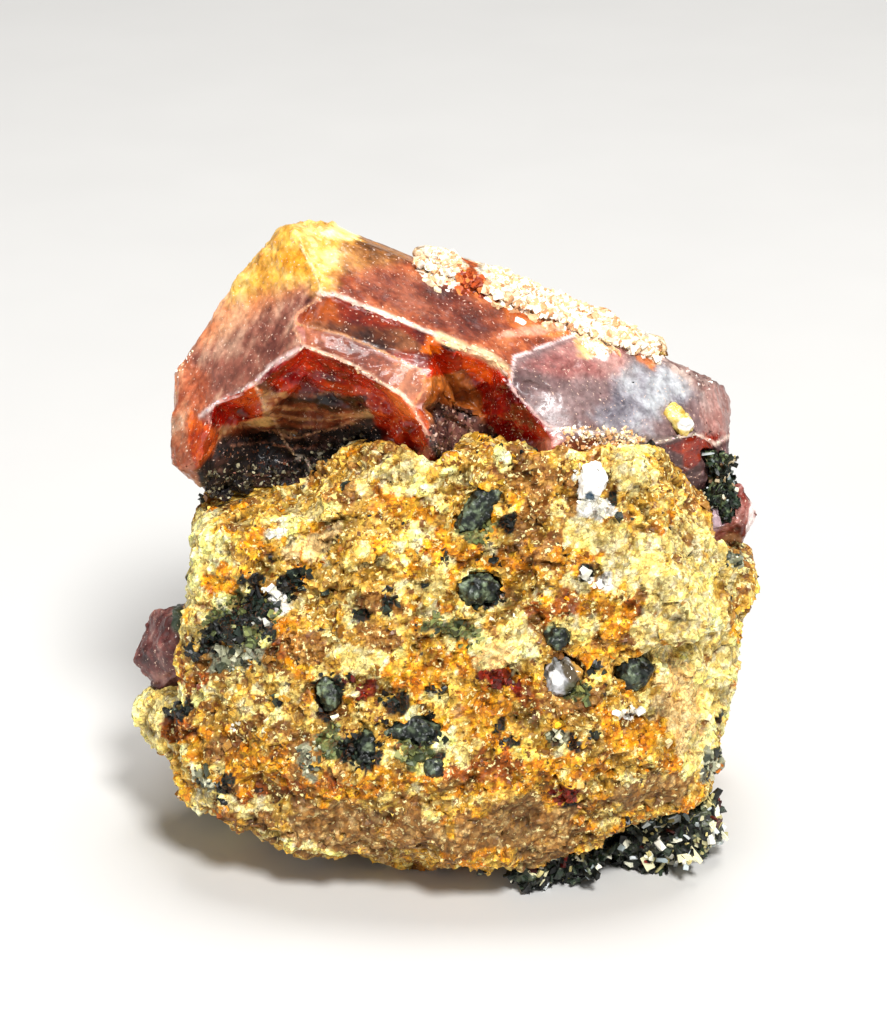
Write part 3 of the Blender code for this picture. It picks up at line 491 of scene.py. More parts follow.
# how far each place lies inside an outline, in millimetres, and negative outside it
def insideOutline(across, up, outline):
    inside = np.zeros(len(across), bool)
    nearest = np.full(len(across), 1e9)
    for (x0, y0), (x1, y1) in zip(outline, outline[1:] + outline[:1]):
        crosses = (y0 > up) != (y1 > up)
        with np.errstate(divide="ignore", invalid="ignore"):
            inside ^= crosses & (across < (x1 - x0) * (up - y0) / (y1 - y0) + x0)
        nearest = np.minimum(nearest, toLine(across, up, (x0, y0), (x1, y1)))
    return np.where(inside, nearest, -nearest)


# how strongly a line holds at each place, from 0 to 1
def onLine(across, up, width, places):
    nearest = np.full(len(across), 1e9)
    for start, end in zip(places, places[1:]):
        nearest = np.minimum(nearest, toLine(across, up, start, end))
    return smoothStep(1.5 - nearest / width)


# how strongly each spot holds at each place, from 0 to 1, its edge broken by a little noise
def spotStrength(across, up, ragged, midAcross, midUp, halfWidth, halfHeight, turn=0.0):
    angle = math.radians(turn)
    right, high = across + ragged[0] - midAcross, up + ragged[1] - midUp
    alongWidth = (right * math.cos(angle) + high * math.sin(angle)) / halfWidth
    alongHeight = (high * math.cos(angle) - right * math.sin(angle)) / halfHeight
    return smoothStep((1.25 - np.hypot(alongWidth, alongHeight)) / 0.4)


def raggedness(points, size, height):
    return cloudNoise(points, size, 41, 3) * height, cloudNoise(points, size, 47, 3) * height


# Broken grains

def grainTemplates(seed, count=9, cuts=4):
    rng = random.Random(seed)
    templates = []
    for _ in range(count):
        bpy.ops.object.select_all(action="DESELECT")
        bpy.ops.mesh.primitive_cube_add(size=1.0)
        block = bpy.context.object
        bpy.ops.object.mode_set(mode="EDIT")
        for _ in range(cuts):
            way = Vector([rng.gauss(0.0, 1.0) for _ in range(3)]).normalized()
            bpy.ops.mesh.select_all(action="SELECT")
            bpy.ops.mesh.bisect(plane_co=way * rng.uniform(0.28, 0.46), plane_no=way, use_fill=True,
                                clear_outer=True)
        bpy.ops.mesh.select_all(action="SELECT")
        bpy.ops.mesh.normals_make_consistent(inside=False)
        bpy.ops.object.mode_set(mode="OBJECT")
        templates.append((pointsOf(block.data), [tuple(face.vertices) for face in block.data.polygons]))
        bpy.data.objects.remove(block)
    return templates


# one mesh of many grains: each has its place, its sizes along three axes, its turn and its tint
def grainPiece(name, templates, grains, material, seed):
    rng = random.Random(seed)
    points, faces, tints, count = [], [], [], 0
    for place, sizes, turn, tint in grains:
        shape, sides = rng.choice(templates)
        points.append((shape * np.array(sizes)) @ np.array(turn.to_matrix()).T + np.array(place))
        faces.extend(tuple(corner + count for corner in side) for side in sides)
        tints.append(np.tile(np.array(tint), (len(shape), 1)))
        count += len(shape)
    mesh = bpy.data.meshes.new(name)
    mesh.from_pydata(insideBox(np.concatenate(points)).tolist(), [], faces)
    mesh.validate()
    writeColour(mesh, "tint", np.concatenate(tints))
    mesh.materials.append(material)
    piece = addObject(name, mesh)
    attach(piece, "root")
    return piece


def anyTurn(rng):
    return Euler([rng.uniform(0.0, math.tau) for _ in range(3)]).to_quaternion()


# picks face centres of a mesh about one spacing apart, none lower than the given height
def spreadOver(mesh, spacing, lowest, seed):
    centres, normals = facesOf(mesh)
    order = np.random.default_rng(seed).permutation(np.flatnonzero(centres[:, 2] > lowest * mm))
    cells = np.floor(centres[order] / (spacing * mm)).astype(np.int64)
    _, first = np.unique(cells, axis=0, return_index=True)
    picked = order[np.sort(first)]
    return centres[picked], normals[picked]


# Shader pieces

# links a socket, sets a value or, with None, leaves the input as it is
def setInput(tree, socket, value):
    if isinstance(value, bpy.types.NodeSocket):
        tree.links.new(value, socket)
    elif value is not None:
        socket.default_value = value


def addNode(tree, kind, *inputs, **values):
    node = tree.nodes.new(kind)
    for key, value in values.items():
        if key in node.inputs:
            setInput(tree, node.inputs[key], value)
        else:
            setattr(node, key, value)
    for number, value in enumerate(inputs):
        setInput(tree, node.inputs[number], value)
    return node


def mathOf(tree, operation, *inputs, clamp=False):
    return addNode(tree, "ShaderNodeMath", *inputs, operation=operation, use_clamp=clamp).outputs[0]


def vectorOf(tree, operation, *inputs):
    return addNode(tree, "ShaderNodeVectorMath", *inputs, operation=operation).outputs[0]


# inputs are the value, then the range that it comes from and the range that it goes to
def spanOf(tree, *inputs, smooth=False):
    kind = "SMOOTHSTEP" if smooth else "LINEAR"
    return addNode(tree, "ShaderNodeMapRange", *inputs, interpolation_type=kind).outputs[0]


def placeOf(tree):
    return addNode(tree, "ShaderNodeTexCoord").outputs["Object"]


def attributeOf(tree, name, output="Fac"):
    return addNode(tree, "ShaderNodeAttribute", attribute_name=name).outputs[output]


def newGroup(name, inputs, outputs):
    group = bpy.data.node_groups.new(name, "ShaderNodeTree")
    for label, value in inputs.items():
        socket = group.interface.new_socket(label, in_out="INPUT", socket_type="NodeSocketFloat")
        socket.default_value = value
    for label, kind in outputs.items():
        group.interface.new_socket(label, in_out="OUTPUT", socket_type="NodeSocket" + kind)
    return group, addNode(group, "NodeGroupInput").outputs


# Sugar-like grains: a random shade for each grain, a seam mask between grains, which the rock uses for painted
# shade, and a normal that leans another way on each grain. Size is grains to a metre.
def makeSugar():
    group, given = newGroup("sugarGrain", {"Size": 1500.0, "Lean": 0.6},
                            {"Shade": "Float", "Seam": "Float", "Normal": "Vector"})
    place = placeOf(group)
    bend = addNode(group, "ShaderNodeTexNoise", Vector=place, Scale=900.0, Detail=2.0)
    warped = vectorOf(group, "MULTIPLY_ADD", bend.outputs["Color"], (0.0006, 0.0006, 0.0006), place)
    cells, seams = (addNode(group, "ShaderNodeTexVoronoi", Vector=warped, Scale=given["Size"], feature=kind)
                    for kind in ("F1", "DISTANCE_TO_EDGE"))
    tone = addNode(group, "ShaderNodeSeparateColor", cells.outputs["Color"])
    seam = spanOf(group, seams.outputs["Distance"], 0.0, 0.12, smooth=True)
    centred = vectorOf(group, "SUBTRACT", cells.outputs["Color"], (0.5, 0.5, 0.5))
    leaned = vectorOf(group, "SCALE", centred, None, None, given["Lean"])
    facing = addNode(group, "ShaderNodeNewGeometry").outputs["Normal"]
    normal = vectorOf(group, "NORMALIZE", vectorOf(group, "ADD", facing, leaned))
    addNode(group, "NodeGroupOutput", tone.outputs[0], seam, normal)
    return group


# Flecks: a mask of small scattered specks. Size is specks to a metre, Amount from 0 to 1.
def makeFlecks():
    group, given = newGroup("fleckMask", {"Size": 2000.0, "Amount": 0.2}, {"Mask": "Float"})
    grain = addNode(group, "ShaderNodeTexNoise", Vector=placeOf(group), Scale=given["Size"], Detail=3.0,
                    Roughness=0.65)
    low = mathOf(group, "MULTIPLY_ADD", given["Amount"], -0.3, 0.72)
    mask = spanOf(group, grain.outputs["Fac"], low, mathOf(group, "ADD", low, 0.06), smooth=True)
    addNode(group, "NodeGroupOutput", mask)
    return group


sugarGroup = makeSugar()
fleckGroup = makeFlecks()


def useGroup(tree, group, **values):
    node = addNode(tree, "ShaderNodeGroup", node_tree=group)
    for key, value in values.items():
        node.inputs[key].default_value = value
    return node.outputs


def newMaterial(name, roughness=0.5, ior=1.5, coat=0.0, coatRoughness=0.1, specular=0.5):
    material = bpy.data.materials.new(name)
    material.use_nodes = True
    shader = material.node_tree.nodes["Principled BSDF"]
    shader.inputs["Roughness"].default_value = roughness
    shader.inputs["IOR"].default_value = ior
    shader.inputs["Coat Weight"].default_value = coat
    shader.inputs["Coat Roughness"].default_value = coatRoughness
    shader.inputs["Specular IOR Level"].default_value = specular
    return material, material.node_tree, shader.inputs


# multiplies a colour by a value scaled to a range
def shadeBy(tree, colour, value, low, high):
    return vectorOf(tree, "SCALE", colour, None, None, spanOf(tree, value, 0.0, 1.0, low, high))


def mixColour(tree, colour, tint, mask):
    mix = addNode(tree, "ShaderNodeMix", mask, data_type="RGBA")
    tree.links.new(colour, mix.inputs[6])
    mix.inputs[7].default_value = (*linear(tint), 1.0)
    return mix.outputs[2]


# brown, near-black and pale flecks of the rock: size, amount and tint
rockFlecks = ((1700.0, 0.5, (104, 54, 8)), (1250.0, 0.3, (34, 24, 14)), (2400.0, 0.46, (255, 240, 170)))


def rockMaterial():
    material, tree, shader = newMaterial("rockSugar", roughness=0.5, specular=0.3)
    sugar = useGroup(tree, sugarGroup, Size=2500.0, Lean=0.75)
    fine = useGroup(tree, sugarGroup, Size=6200.0, Lean=0.5)
    colour = shadeBy(tree, attributeOf(tree, "tint", "Color"), sugar["Shade"], 0.62, 1.24)
    colour = shadeBy(tree, colour, fine["Shade"], 0.64, 1.32)
    # painted shade: the seams between grains are mixed toward brown, standing in for the shadow between them
    colour = mixColour(tree, colour, (116, 62, 10), mathOf(tree, "MULTIPLY_ADD", sugar["Seam"], -0.4, 0.4))
    clean = attributeOf(tree, "clean")
    for size, amount, tint in rockFlecks:
        flecks = useGroup(tree, fleckGroup, Size=size, Amount=amount)
        colour = mixColour(tree, colour, tint, mathOf(tree, "SUBTRACT", flecks["Mask"], clean, clamp=True))
    setInput(tree, shader["Base Color"], colour)
    setInput(tree, shader["Normal"], sugar["Normal"])
    return material


def grainMaterial():
    material, tree, shader = newMaterial("feldsparGrain", roughness=0.38)
    fine = useGroup(tree, sugarGroup, Size=3400.0, Lean=0.45)
    colour = shadeBy(tree, attributeOf(tree, "tint", "Color"), fine["Shade"], 0.72, 1.22)
    setInput(tree, shader["Base Color"], colour)
    setInput(tree, shader["Normal"], fine["Normal"])
    return material


def darkMaterial():
    material, tree, shader = newMaterial("amphiboleGrain", roughness=0.4, coat=0.12, coatRoughness=0.2,
                                         specular=0.35)
    fine = useGroup(tree, sugarGroup, Size=2600.0, Lean=0.7)
    colour = shadeBy(tree, attributeOf(tree, "tint", "Color"), fine["Shade"], 0.3, 2.0)
    glint = useGroup(tree, fleckGroup, Size=2200.0, Amount=0.26)
    setInput(tree, shader["Base Color"], mixColour(tree, colour, (140, 148, 116), glint["Mask"]))
    setInput(tree, shader["Normal"], fine["Normal"])
    return material


def zirconMaterial():
    material, tree, shader = newMaterial("zirconRed", ior=1.6, coat=0.1, coatRoughness=0.08, specular=0.3)
    grain = useGroup(tree, sugarGroup, Size=3000.0, Lean=0.1)
    cloud = addNode(tree, "ShaderNodeTexNoise", Vector=placeOf(tree), Scale=1500.0, Detail=6.0,
                    Roughness=0.68).outputs["Fac"]
    colour = shadeBy(tree, attributeOf(tree, "tint", "Color"), cloud, 0.05, 1.95)
    colour = shadeBy(tree, colour, grain["Shade"], 0.85, 1.15)
    specks = useGroup(tree, fleckGroup, Size=4600.0, Amount=0.3)
    colour = mixColour(tree, colour, (238, 204, 182), specks["Mask"])
    bump = addNode(tree, "ShaderNodeBump", Strength=0.25, Distance=0.0002, Height=cloud, Normal=grain["Normal"])
    setInput(tree, shader["Base Color"], colour)
    setInput(tree, shader["Roughness"], attributeOf(tree, "rough"))
    # painted light: emission from the glow attribute stands in for light shining through the crystal
    glowing = vectorOf(tree, "SCALE", colour, None, None, attributeOf(tree, "glow"))
    setInput(tree, shader["Emission Color"], glowing)
    shader["Emission Strength"].default_value = 1.0
    setInput(tree, shader["Normal"], bump.outputs["Normal"])
    return material


def quartzMaterial():
    material, tree, shader = newMaterial("clearGrain", roughness=0.12, coat=0.3)
    cloud = addNode(tree, "ShaderNodeTexNoise", Vector=placeOf(tree), Scale=900.0, Detail=3.0)
    colour = shadeBy(tree, attributeOf(tree, "tint", "Color"), cloud.outputs["Fac"], 0.75, 1.2)
    setInput(tree, shader["Base Color"], colour)
    return material


rockFinish = rockMaterial()
grainFinish = grainMaterial()
darkFinish = darkMaterial()
zirconFinish = zirconMaterial()
quartzFinish = quartzMaterial()
print("stage: materials")


# The rock

rockForm = {
    "voxel": 0.41,
    "displayEnd": 3.5,  # the display side ends this far behind the middle
    "swells": ((5.0, 0.45), (2.4, 0.42)),  # width and height of its swellings
    "facets": ((2.1, 0.5, 0.7), (0.95, 0.34, 0.54), (0.46, 0.2, 0.32)),  # width, step and lean of broken faces
    "pits": (1.5, 0.35),  # width and depth
    "patch": 0.9,  # width of a patch of one kind of grain
    "clouds": (5.0, ("orange", "pale", "brown")),  # width and kinds of the large soft patches
    "ragged": (1.6, 0.55),  # width and reach of the waves in the edges of its spots
    "spotCover": 0.93,  # how fully a spot hides the kinds below it
    "grain": 0.4,  # width of a single grain's tint
    "seat": 0.35,  # lower than this the rock is pressed flat
    "smoothAngle": 24,
    "skin": 1.5,  # nearer than this to the crystal the rock only swells, so the crystal stays covered
    "crustStart": 3.2,  # the ridge behind the crystal, from this far back, is crusted white
    "crustLine": (17.9, -0.9, 0.345, 1.2),  # along this line of the display: up, across, fall and margin
}
grainKinds = list(grainTints)
# how smooth the rock is where each kind grows, from 0 to 1
calm = {"pale": 0.42, "pink": 0.5, "facet": 0.5, "orange": 0.2, "crust": 0.3}
spotKinds = ("dark", "moss", "garnet", "white", "slate")  # grow in spots, without flecks
bareKinds = ("facet", "crust", "ember")  # no loose grains grow there
grainPalette = np.array([[linear(colours[i % len(colours)]) for i in range(10)]
                         for colours in grainTints.values()])


# how far a place belongs to the crusted ridge behind the crystal, from 0 to 1
def ridgeShare(points):
    across, up, _ = onDisplay(points)
    height, start, fall, margin = rockForm["crustLine"]
    high = smoothStep((up - height + fall * (across - start) + margin) / 0.6)
    return high * smoothStep((points[:, 1] / mm - rockForm["crustStart"]) / 1.0)


# which kind of grain grows at each place, by a random pick from 0 to 1
def kindsAt(points, picks):
    across, up, _ = onDisplay(points)
    ragged = raggedness(points, *rockForm["ragged"])
    seen = smoothStep((rockForm["displayEnd"] * mm - points[:, 1]) / (3.0 * mm))
    weights = np.zeros((len(grainKinds), len(points)))
    of = dict(zip(grainKinds, weights))
    of["sugar"] += 1.0
    width, kinds = rockForm["clouds"]
    for number, kind in enumerate(kinds):
        of[kind] += smoothStep((cloudNoise(points, width, 51 + number, 3) - 0.1) / 0.3) * 1.5 + 0.08
    of["dark"] += 0.012 + (1.0 - seen) * smoothStep((cloudNoise(points, 3.0, 57, 3) - 0.5) / 0.2) * 2.0
    crusted = ridgeShare(points)
    weights *= 1.0 - crusted
    bare = smoothStep((0.5 - np.abs(across - 2.0 + ragged[0])) / 0.5 + 0.5) * 0.9
    of["crust"] += crusted * (1.0 - bare)
    of["ember"] += crusted * bare
    for kind, spots in rockSpots:
        for spot in spots:
            strength = spotStrength(across, up, ragged, *spot) * seen
            weights *= 1.0 - rockForm["spotCover"] * strength
            of[kind] += strength * 1.4
    sums = np.cumsum(weights, axis=0)
    chosen = (sums < picks * sums[-1]).sum(axis=0)
    even = sum(of[kind] * share for kind, share in calm.items()) / sums[-1]
    return chosen, even * seen


# which places are in sight of the eye, not hidden behind any of the given pieces
def inSight(places, normals, trees):
    facing = normals @ np.array(into) < 0.1
    for index in np.flatnonzero(facing):
        place = Vector(places[index])
        way = eye - place
        start = place + way.normalized() * 0.3 * mm
        if any(tree.ray_cast(start, way.normalized(), way.length)[0] is not None for tree in trees):
            facing[index] = False
    return facing


# splits the chosen faces in four
def refineFaces(piece, chosen):
    body = bodyOf(piece)
    body.faces.ensure_lookup_table()
    edges = {edge for index in np.flatnonzero(chosen) for edge in body.faces[int(index)].edges}
    bmesh.ops.subdivide_edges(body, edges=list(edges), cuts=1, use_grid_fill=True)
    bmesh.ops.triangulate(body, faces=[face for face in body.faces if len(face.verts) > 4])
    putBack(body, piece)


def makeRock():
    rock = copyOfNode("matrix", "rockBody")
    remesh = rock.modifiers.new("Remesh", "REMESH")
    remesh.mode = "VOXEL"
    remesh.voxel_size = rockForm["voxel"] * mm
    applyModifiers(rock)
    crystal = treeOf(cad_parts["zircon_crystal"])
    refineFaces(rock, inSight(*facesOf(rock.data), (treeOf(rock), crystal)))
    points, normals = pointsOf(rock.data), normalsOf(rock.data)
    _, coarse, middle = cellNoise(points, rockForm["patch"], 3)
    kind, smooth = kindsAt(middle, hashed(coarse, 4))
    _, fine, _ = cellNoise(points, rockForm["grain"], 5)
    ownTints = grainPalette[kind, (hashed(fine, 6) * 9.99).astype(int)]
    tints = ownTints * 0.62 + grainPalette.mean(axis=1)[kind] * 0.38
    rise = np.zeros(len(points))
    for number, (size, height) in enumerate(rockForm["swells"]):
        rise += cloudNoise(points, size, 60 + number, 2) * height
    broad = rise.copy()
    for number, (size, step, lean) in enumerate(rockForm["facets"]):
        rise += facetRise(points, size, 70 + number * 10, step, lean)
    pitWidth, pitDepth = rockForm["pits"]
    pits = smoothStep((cloudNoise(points, pitWidth, 90, 3) - 0.3) / 0.25) * (1.0 - smooth)
    rise -= pits * pitDepth
    crusted = ridgeShare(points)
    rise = broad + (rise - broad) * (1.0 - 0.9 * smooth) * (1.0 - 0.5 * crusted) - 0.3 * crusted
    thin = [crystal.find_nearest(Vector(point), rockForm["skin"] * mm)[0] is not None for point in points]
    rise = np.where(thin, np.maximum(rise, 0.1), rise)
    # painted shade: darker below the broad swell and in pits, lighter on raised facets; the cloud noise then adds
    # random tone
    shade = np.clip(0.92 + (rise - broad) * 1.3 * (1.0 - crusted), 0.3, 1.25) * (1.0 - 0.35 * pits)
    shade *= np.clip(1.0 + cloudNoise(points, 2.6, 95, 4) * 0.4, 0.6, 1.3)
    plain = np.isin(kind, [grainKinds.index(name) for name in spotKinds])
    writeColour(rock.data, "tint", np.clip(tints * shade[:, None], 0.0, 1.0))
    writeValue(rock.data, "clean", np.maximum(np.maximum(crusted, smooth), plain))
    points = points + normals * rise[:, None] * mm
    seat = rockForm["seat"] * mm
    points[:, 2] = np.where(points[:, 2] < seat, np.maximum(points[:, 2], 0.0) * 0.2, points[:, 2])
    finishPiece(rock, points, rockFinish, rockForm["smoothAngle"])
    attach(rock, "root")
    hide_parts("matrix")
    return rock


rock = makeRock()
rockTree = treeOf(rock)
print("stage: rock,", len(rock.data.polygons), "faces")

grainForm = {"spacing": 1.2, "sizes": (0.35, 0.85), "sunk": 0.42, "stray": 0.5}
spotForm = {"spacing": 0.46, "sizes": (0.3, 0.8), "sunk": 0.12, "stray": 0.8}


# a turn that lays a grain's flat side near the surface it grows on
def layFlat(normal, rng, stray):
    level = Vector(normal).to_track_quat("Z", "Y")
    spin = Euler((rng.gauss(0.0, stray), rng.gauss(0.0, stray), rng.uniform(0.0, math.tau))).to_quaternion()
    return level @ spin


def makeRockGrains():
    rng = random.Random(11)
    templates = grainTemplates(5)
    light, dark = [], []
    for spotted, form in ((False, grainForm), (True, spotForm)):
        low, high = form["sizes"]
        centres, normals = spreadOver(rock.data, form["spacing"], 0.5, 3)
        kinds, smooth = kindsAt(centres, np.random.default_rng(8).random(len(centres)))
        smooth = np.maximum(smooth, ridgeShare(centres) * 4.0)
        for centre, normal, kind, even in zip(centres, normals, kinds, smooth):
            name = grainKinds[kind]
            if (name in spotKinds) != spotted or name in bareKinds or rng.random() < even * 1.6:
                continue
            size = low + (high - low) * rng.random() ** 2.2
            sizes = [size * rng.uniform(*span) * mm for span in ((0.7, 1.3), (0.6, 1.0), (0.4, 0.8))]
            place = Vector(centre) - Vector(normal) * size * form["sunk"] * mm
            shade = rng.uniform(0.7, 1.1)
            tint = [part * shade for part in grainPalette[kind, rng.randrange(10)]]
            grain = (place, sizes, layFlat(normal, rng, form["stray"]), tint)
            (dark if name in ("dark", "moss", "garnet") else light).append(grain)
    piece = grainPiece("rockGrains", templates, light, grainFinish, 21)
    piece = grainPiece("darkGrains", templates, dark, darkFinish, 23)
    print("stage: rock grains,", len(light), "light and", len(dark), "dark")


makeRockGrains()


# The large crystal

crystalForm = {
    "edge": 0.31,  # longest edge of its fine mesh on the display side
    "backEdge": 0.9,
    "displayEnd": 9.0,  # the display side ends this far behind the middle
    "mottle": (2.4, 1.15),  # width and strength of its clouds
    "grit": (0.13, 0.5),  # width and strength of its finest dots
    "slant": 62,  # the streaks of the left face run up to the right, those of the hollows lie level
    "slantStreaks": ((1.5, 0.34), (0.8, 0.2)),  # length and width
    "levelStreaks": ((2.6, 0.34), (1.4, 0.18)),
    "ribs": (2.2, 0.3, 0.05),  # length, width and height of the ribs along the left face's streaks
    "ribsEnd": -8.5,  # the left face ends here
    "chipReach": 0.5,
    "chipDepth": 0.36,
    "smoothAngle": 30,
    "surface": (0.3, 0.02, 0.08),  # roughness, glow and unevenness where no zone is
    "hiddenTint": (120, 52, 36),
    "faceTints": (  # azimuth, elevation and tint of its natural faces, for the sides away from the display
        (52, 63, (168, 88, 60)), (47, 43, (172, 124, 116)), (-53, 30, (180, 112, 100)), (-9, 1, (130, 36, 18)),
        (-89, 3, (186, 104, 84)), (-106, 31, (228, 180, 130)), (-106, 42, (240, 198, 110)),
        (-167, 71, (226, 170, 96)), (123, 63, (160, 84, 56)), (66, 30, (190, 140, 128)), (80, 22, (190, 130, 118)),
        (86, -10, (120, 62, 50)), (172, 18, (112, 44, 28)), (-140, 8, (150, 74, 54)), (29, -11, (110, 54, 40)),
    ),
}
edgeStray = 0.22  # how far the edges of its zones wander


# splits edges until none is longer than allowed, with a shorter limit on the display side
def fineMesh(piece, longest, backLongest=None):
    backLongest = backLongest or longest
    body = bodyOf(piece)
    bmesh.ops.triangulate(body, faces=body.faces)
    for _ in range(12):
        long = [edge for edge in body.edges if edge.calc_length() > mm * (
            longest if any(face.normal.dot(into) < 0.1 for face in edge.link_faces) else backLongest)]
        if not long:
            break
        bmesh.ops.subdivide_edges(body, edges=long, cuts=1)
        bmesh.ops.triangulate(body, faces=[face for face in body.faces if len(face.verts) > 3])
    putBack(body, piece)


# a search tree over places along the sharp edges of a piece
def sharpEdgeTree(piece, angle=18.0):
    body = bodyOf(piece)
    places = []
    for edge in body.edges:
        if len(edge.link_faces) == 2 and edge.calc_face_angle(0.0) > math.radians(angle):
            first, last = edge.verts[0].co, edge.verts[1].co
            count = max(2, int((last - first).length / (0.12 * mm)))
            places.extend(first.lerp(last, i / count) for i in range(count + 1))
    body.free()
    tree = KDTree(len(places))
    for number, place in enumerate(places):
        tree.insert(place, number)
    tree.balance()
    return tree


# pushes the points near sharp edges in where the noise is high, as broken edges are
def chipEdges(points, normals, edgeTree, reach, depth, size, seed):
    away = np.array([edgeTree.find(place)[2] for place in points]) / mm
    bite = np.clip(cloudNoise(points, size, seed, 3) * 1.2 + 0.25, 0.0, 1.0)
    return points - normals * (smoothStep(1.0 - away / reach) * bite * depth)[:, None] * mm


# dark to light blend of three tints by a value from -1 to 1
def threeTints(colours, value):
    dark, middle, light = (np.array(linear(colour)) for colour in colours)
    share = np.clip(value, -1.0, 1.0)[:, None]
    return middle + np.where(share < 0.0, (middle - dark) * share, (light - middle) * share)


# streaks of two widths that lie along the first axis of a plane
def streaks(plane, widths, seed, share):
    return sum(softNoise(plane, (*width, 1.0), seed + number) * strength
               for number, (width, strength) in enumerate(zip(widths, (1.0, share))))


def makeCrystal():
    crystal = copyOfNode("zircon_crystal", "crystalBody")
    edgeTree = sharpEdgeTree(crystal)
    fineMesh(crystal, crystalForm["edge"], crystalForm["backEdge"])
    points, normals = pointsOf(crystal.data), normalsOf(crystal.data)
    across, up, _ = onDisplay(points)
    ragged = raggedness(points, 1.1, edgeStray)
    seen = smoothStep((crystalForm["displayEnd"] * mm - points[:, 1]) / (1.0 * mm))
    width, strength = crystalForm["mottle"]
    mottle = cloudNoise(points, width, 101, 5) * strength
    width, strength = crystalForm["grit"]
    mottle += (hashed((points / (width * mm)).astype(np.int64), 7) - 0.5) * strength
    plane = np.stack([across, up, np.zeros(len(points))], axis=1) * mm
    slanted = plane @ np.array(Matrix.Rotation(math.radians(crystalForm["slant"]), 3, "Z"))
    slantStreak = streaks(slanted, crystalForm["slantStreaks"], 110, 0.7)
    slantStreak = slantStreak * np.clip(0.7 + cloudNoise(points, 2.2, 115, 2), 0.0, 1.3)
    levelStreak = streaks(plane, crystalForm["levelStreaks"], 112, 0.6)
    tints = np.tile(linear(crystalForm["hiddenTint"]), (len(points), 1))
    nearest = np.full(len(points), -1.0)
    for azimuth, elevation, tint in crystalForm["faceTints"]:
        turn, lift = math.radians(azimuth), math.radians(elevation)
        outward = (math.sin(turn) * math.cos(lift), -math.cos(turn) * math.cos(lift), math.sin(lift))
        match = normals @ np.array(outward)
        tints[match > nearest] = linear(tint)
        nearest = np.maximum(nearest, match)
    tints = tints * (1.0 + 0.55 * mottle[:, None])
    surface = [np.full(len(points), value) for value in crystalForm["surface"]]
    for part, (colours, values, outline) in crystalZones.items():
        values = values + (edgeStray, 0.0)[len(values) - 4:]
        soft, stray, streaked = values[3], values[4] / edgeStray, values[5]
        inside = insideOutline(across + ragged[0] * stray, up + ragged[1] * stray, outline)
        share = smoothStep(inside / soft + 0.5) * seen
        streak = slantStreak if part.startswith("left") else levelStreak
        tints = blend(tints, threeTints(colours, mottle * (1.3 - 0.7 * streaked) + streak * streaked), share)
        surface = [blend(old, new, share) for old, new in zip(surface, values)]
    rough, glow, relief = surface
    # pale lines along the broken edges and cracks: partly pale broken stone, partly painted highlight
    for width, tint, strength, places in crystalLines:
        broken = np.clip(0.75 + cloudNoise(points, 0.7, 120, 2) * 0.8, 0.0, 1.0)
        share = onLine(across + ragged[0] * 0.3, up + ragged[1] * 0.3, width, places) * seen * strength * broken
        tints = blend(tints, np.array(linear(tint)), share)
        rough = np.maximum(rough, share * 0.5)
    writeColour(crystal.data, "tint", np.clip(tints, 0.0, 1.0))
    writeValue(crystal.data, "rough", np.clip(rough, 0.05, 1.0))
    writeValue(crystal.data, "glow", glow)
    rise = (cloudNoise(points, 1.6, 130, 4) + facetRise(points, 1.3, 134, 0.5, 1.2)) * relief
    *rib, height = crystalForm["ribs"]
    rise += softNoise(slanted, (*rib, 1.0), 110) * height * seen * (across < crystalForm["ribsEnd"])
    points = chipEdges(points, normals, edgeTree, crystalForm["chipReach"], crystalForm["chipDepth"], 1.3, 140)
    finishPiece(crystal, points + normals * rise[:, None] * mm, zirconFinish, crystalForm["smoothAngle"])
    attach(crystal, "root")
    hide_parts("zircon_crystal")
    return crystal


crystal = makeCrystal()
crystalTree = treeOf(crystal)
print("stage: crystal,", len(crystal.data.polygons), "faces")


# the place on a piece seen at a point of the display, and which way the surface faces
def seenAt(tree, across, up):
    start, way = sightLine(across, up)
    return tree.ray_cast(start, way)


# random places of the display inside an outline
def placesInside(outline, count, rng):
    low = [min(place[axis] for place in outline) for axis in (0, 1)]
    high = [max(place[axis] for place in outline) for axis in (0, 1)]
    tries = np.array([[rng.uniform(low[0], high[0]), rng.uniform(low[1], high[1])] for _ in range(count)])
    inside = insideOutline(tries[:, 0], tries[:, 1], outline)
    return [tuple(place) for place, depth in zip(tries, inside) if depth > 0.0]


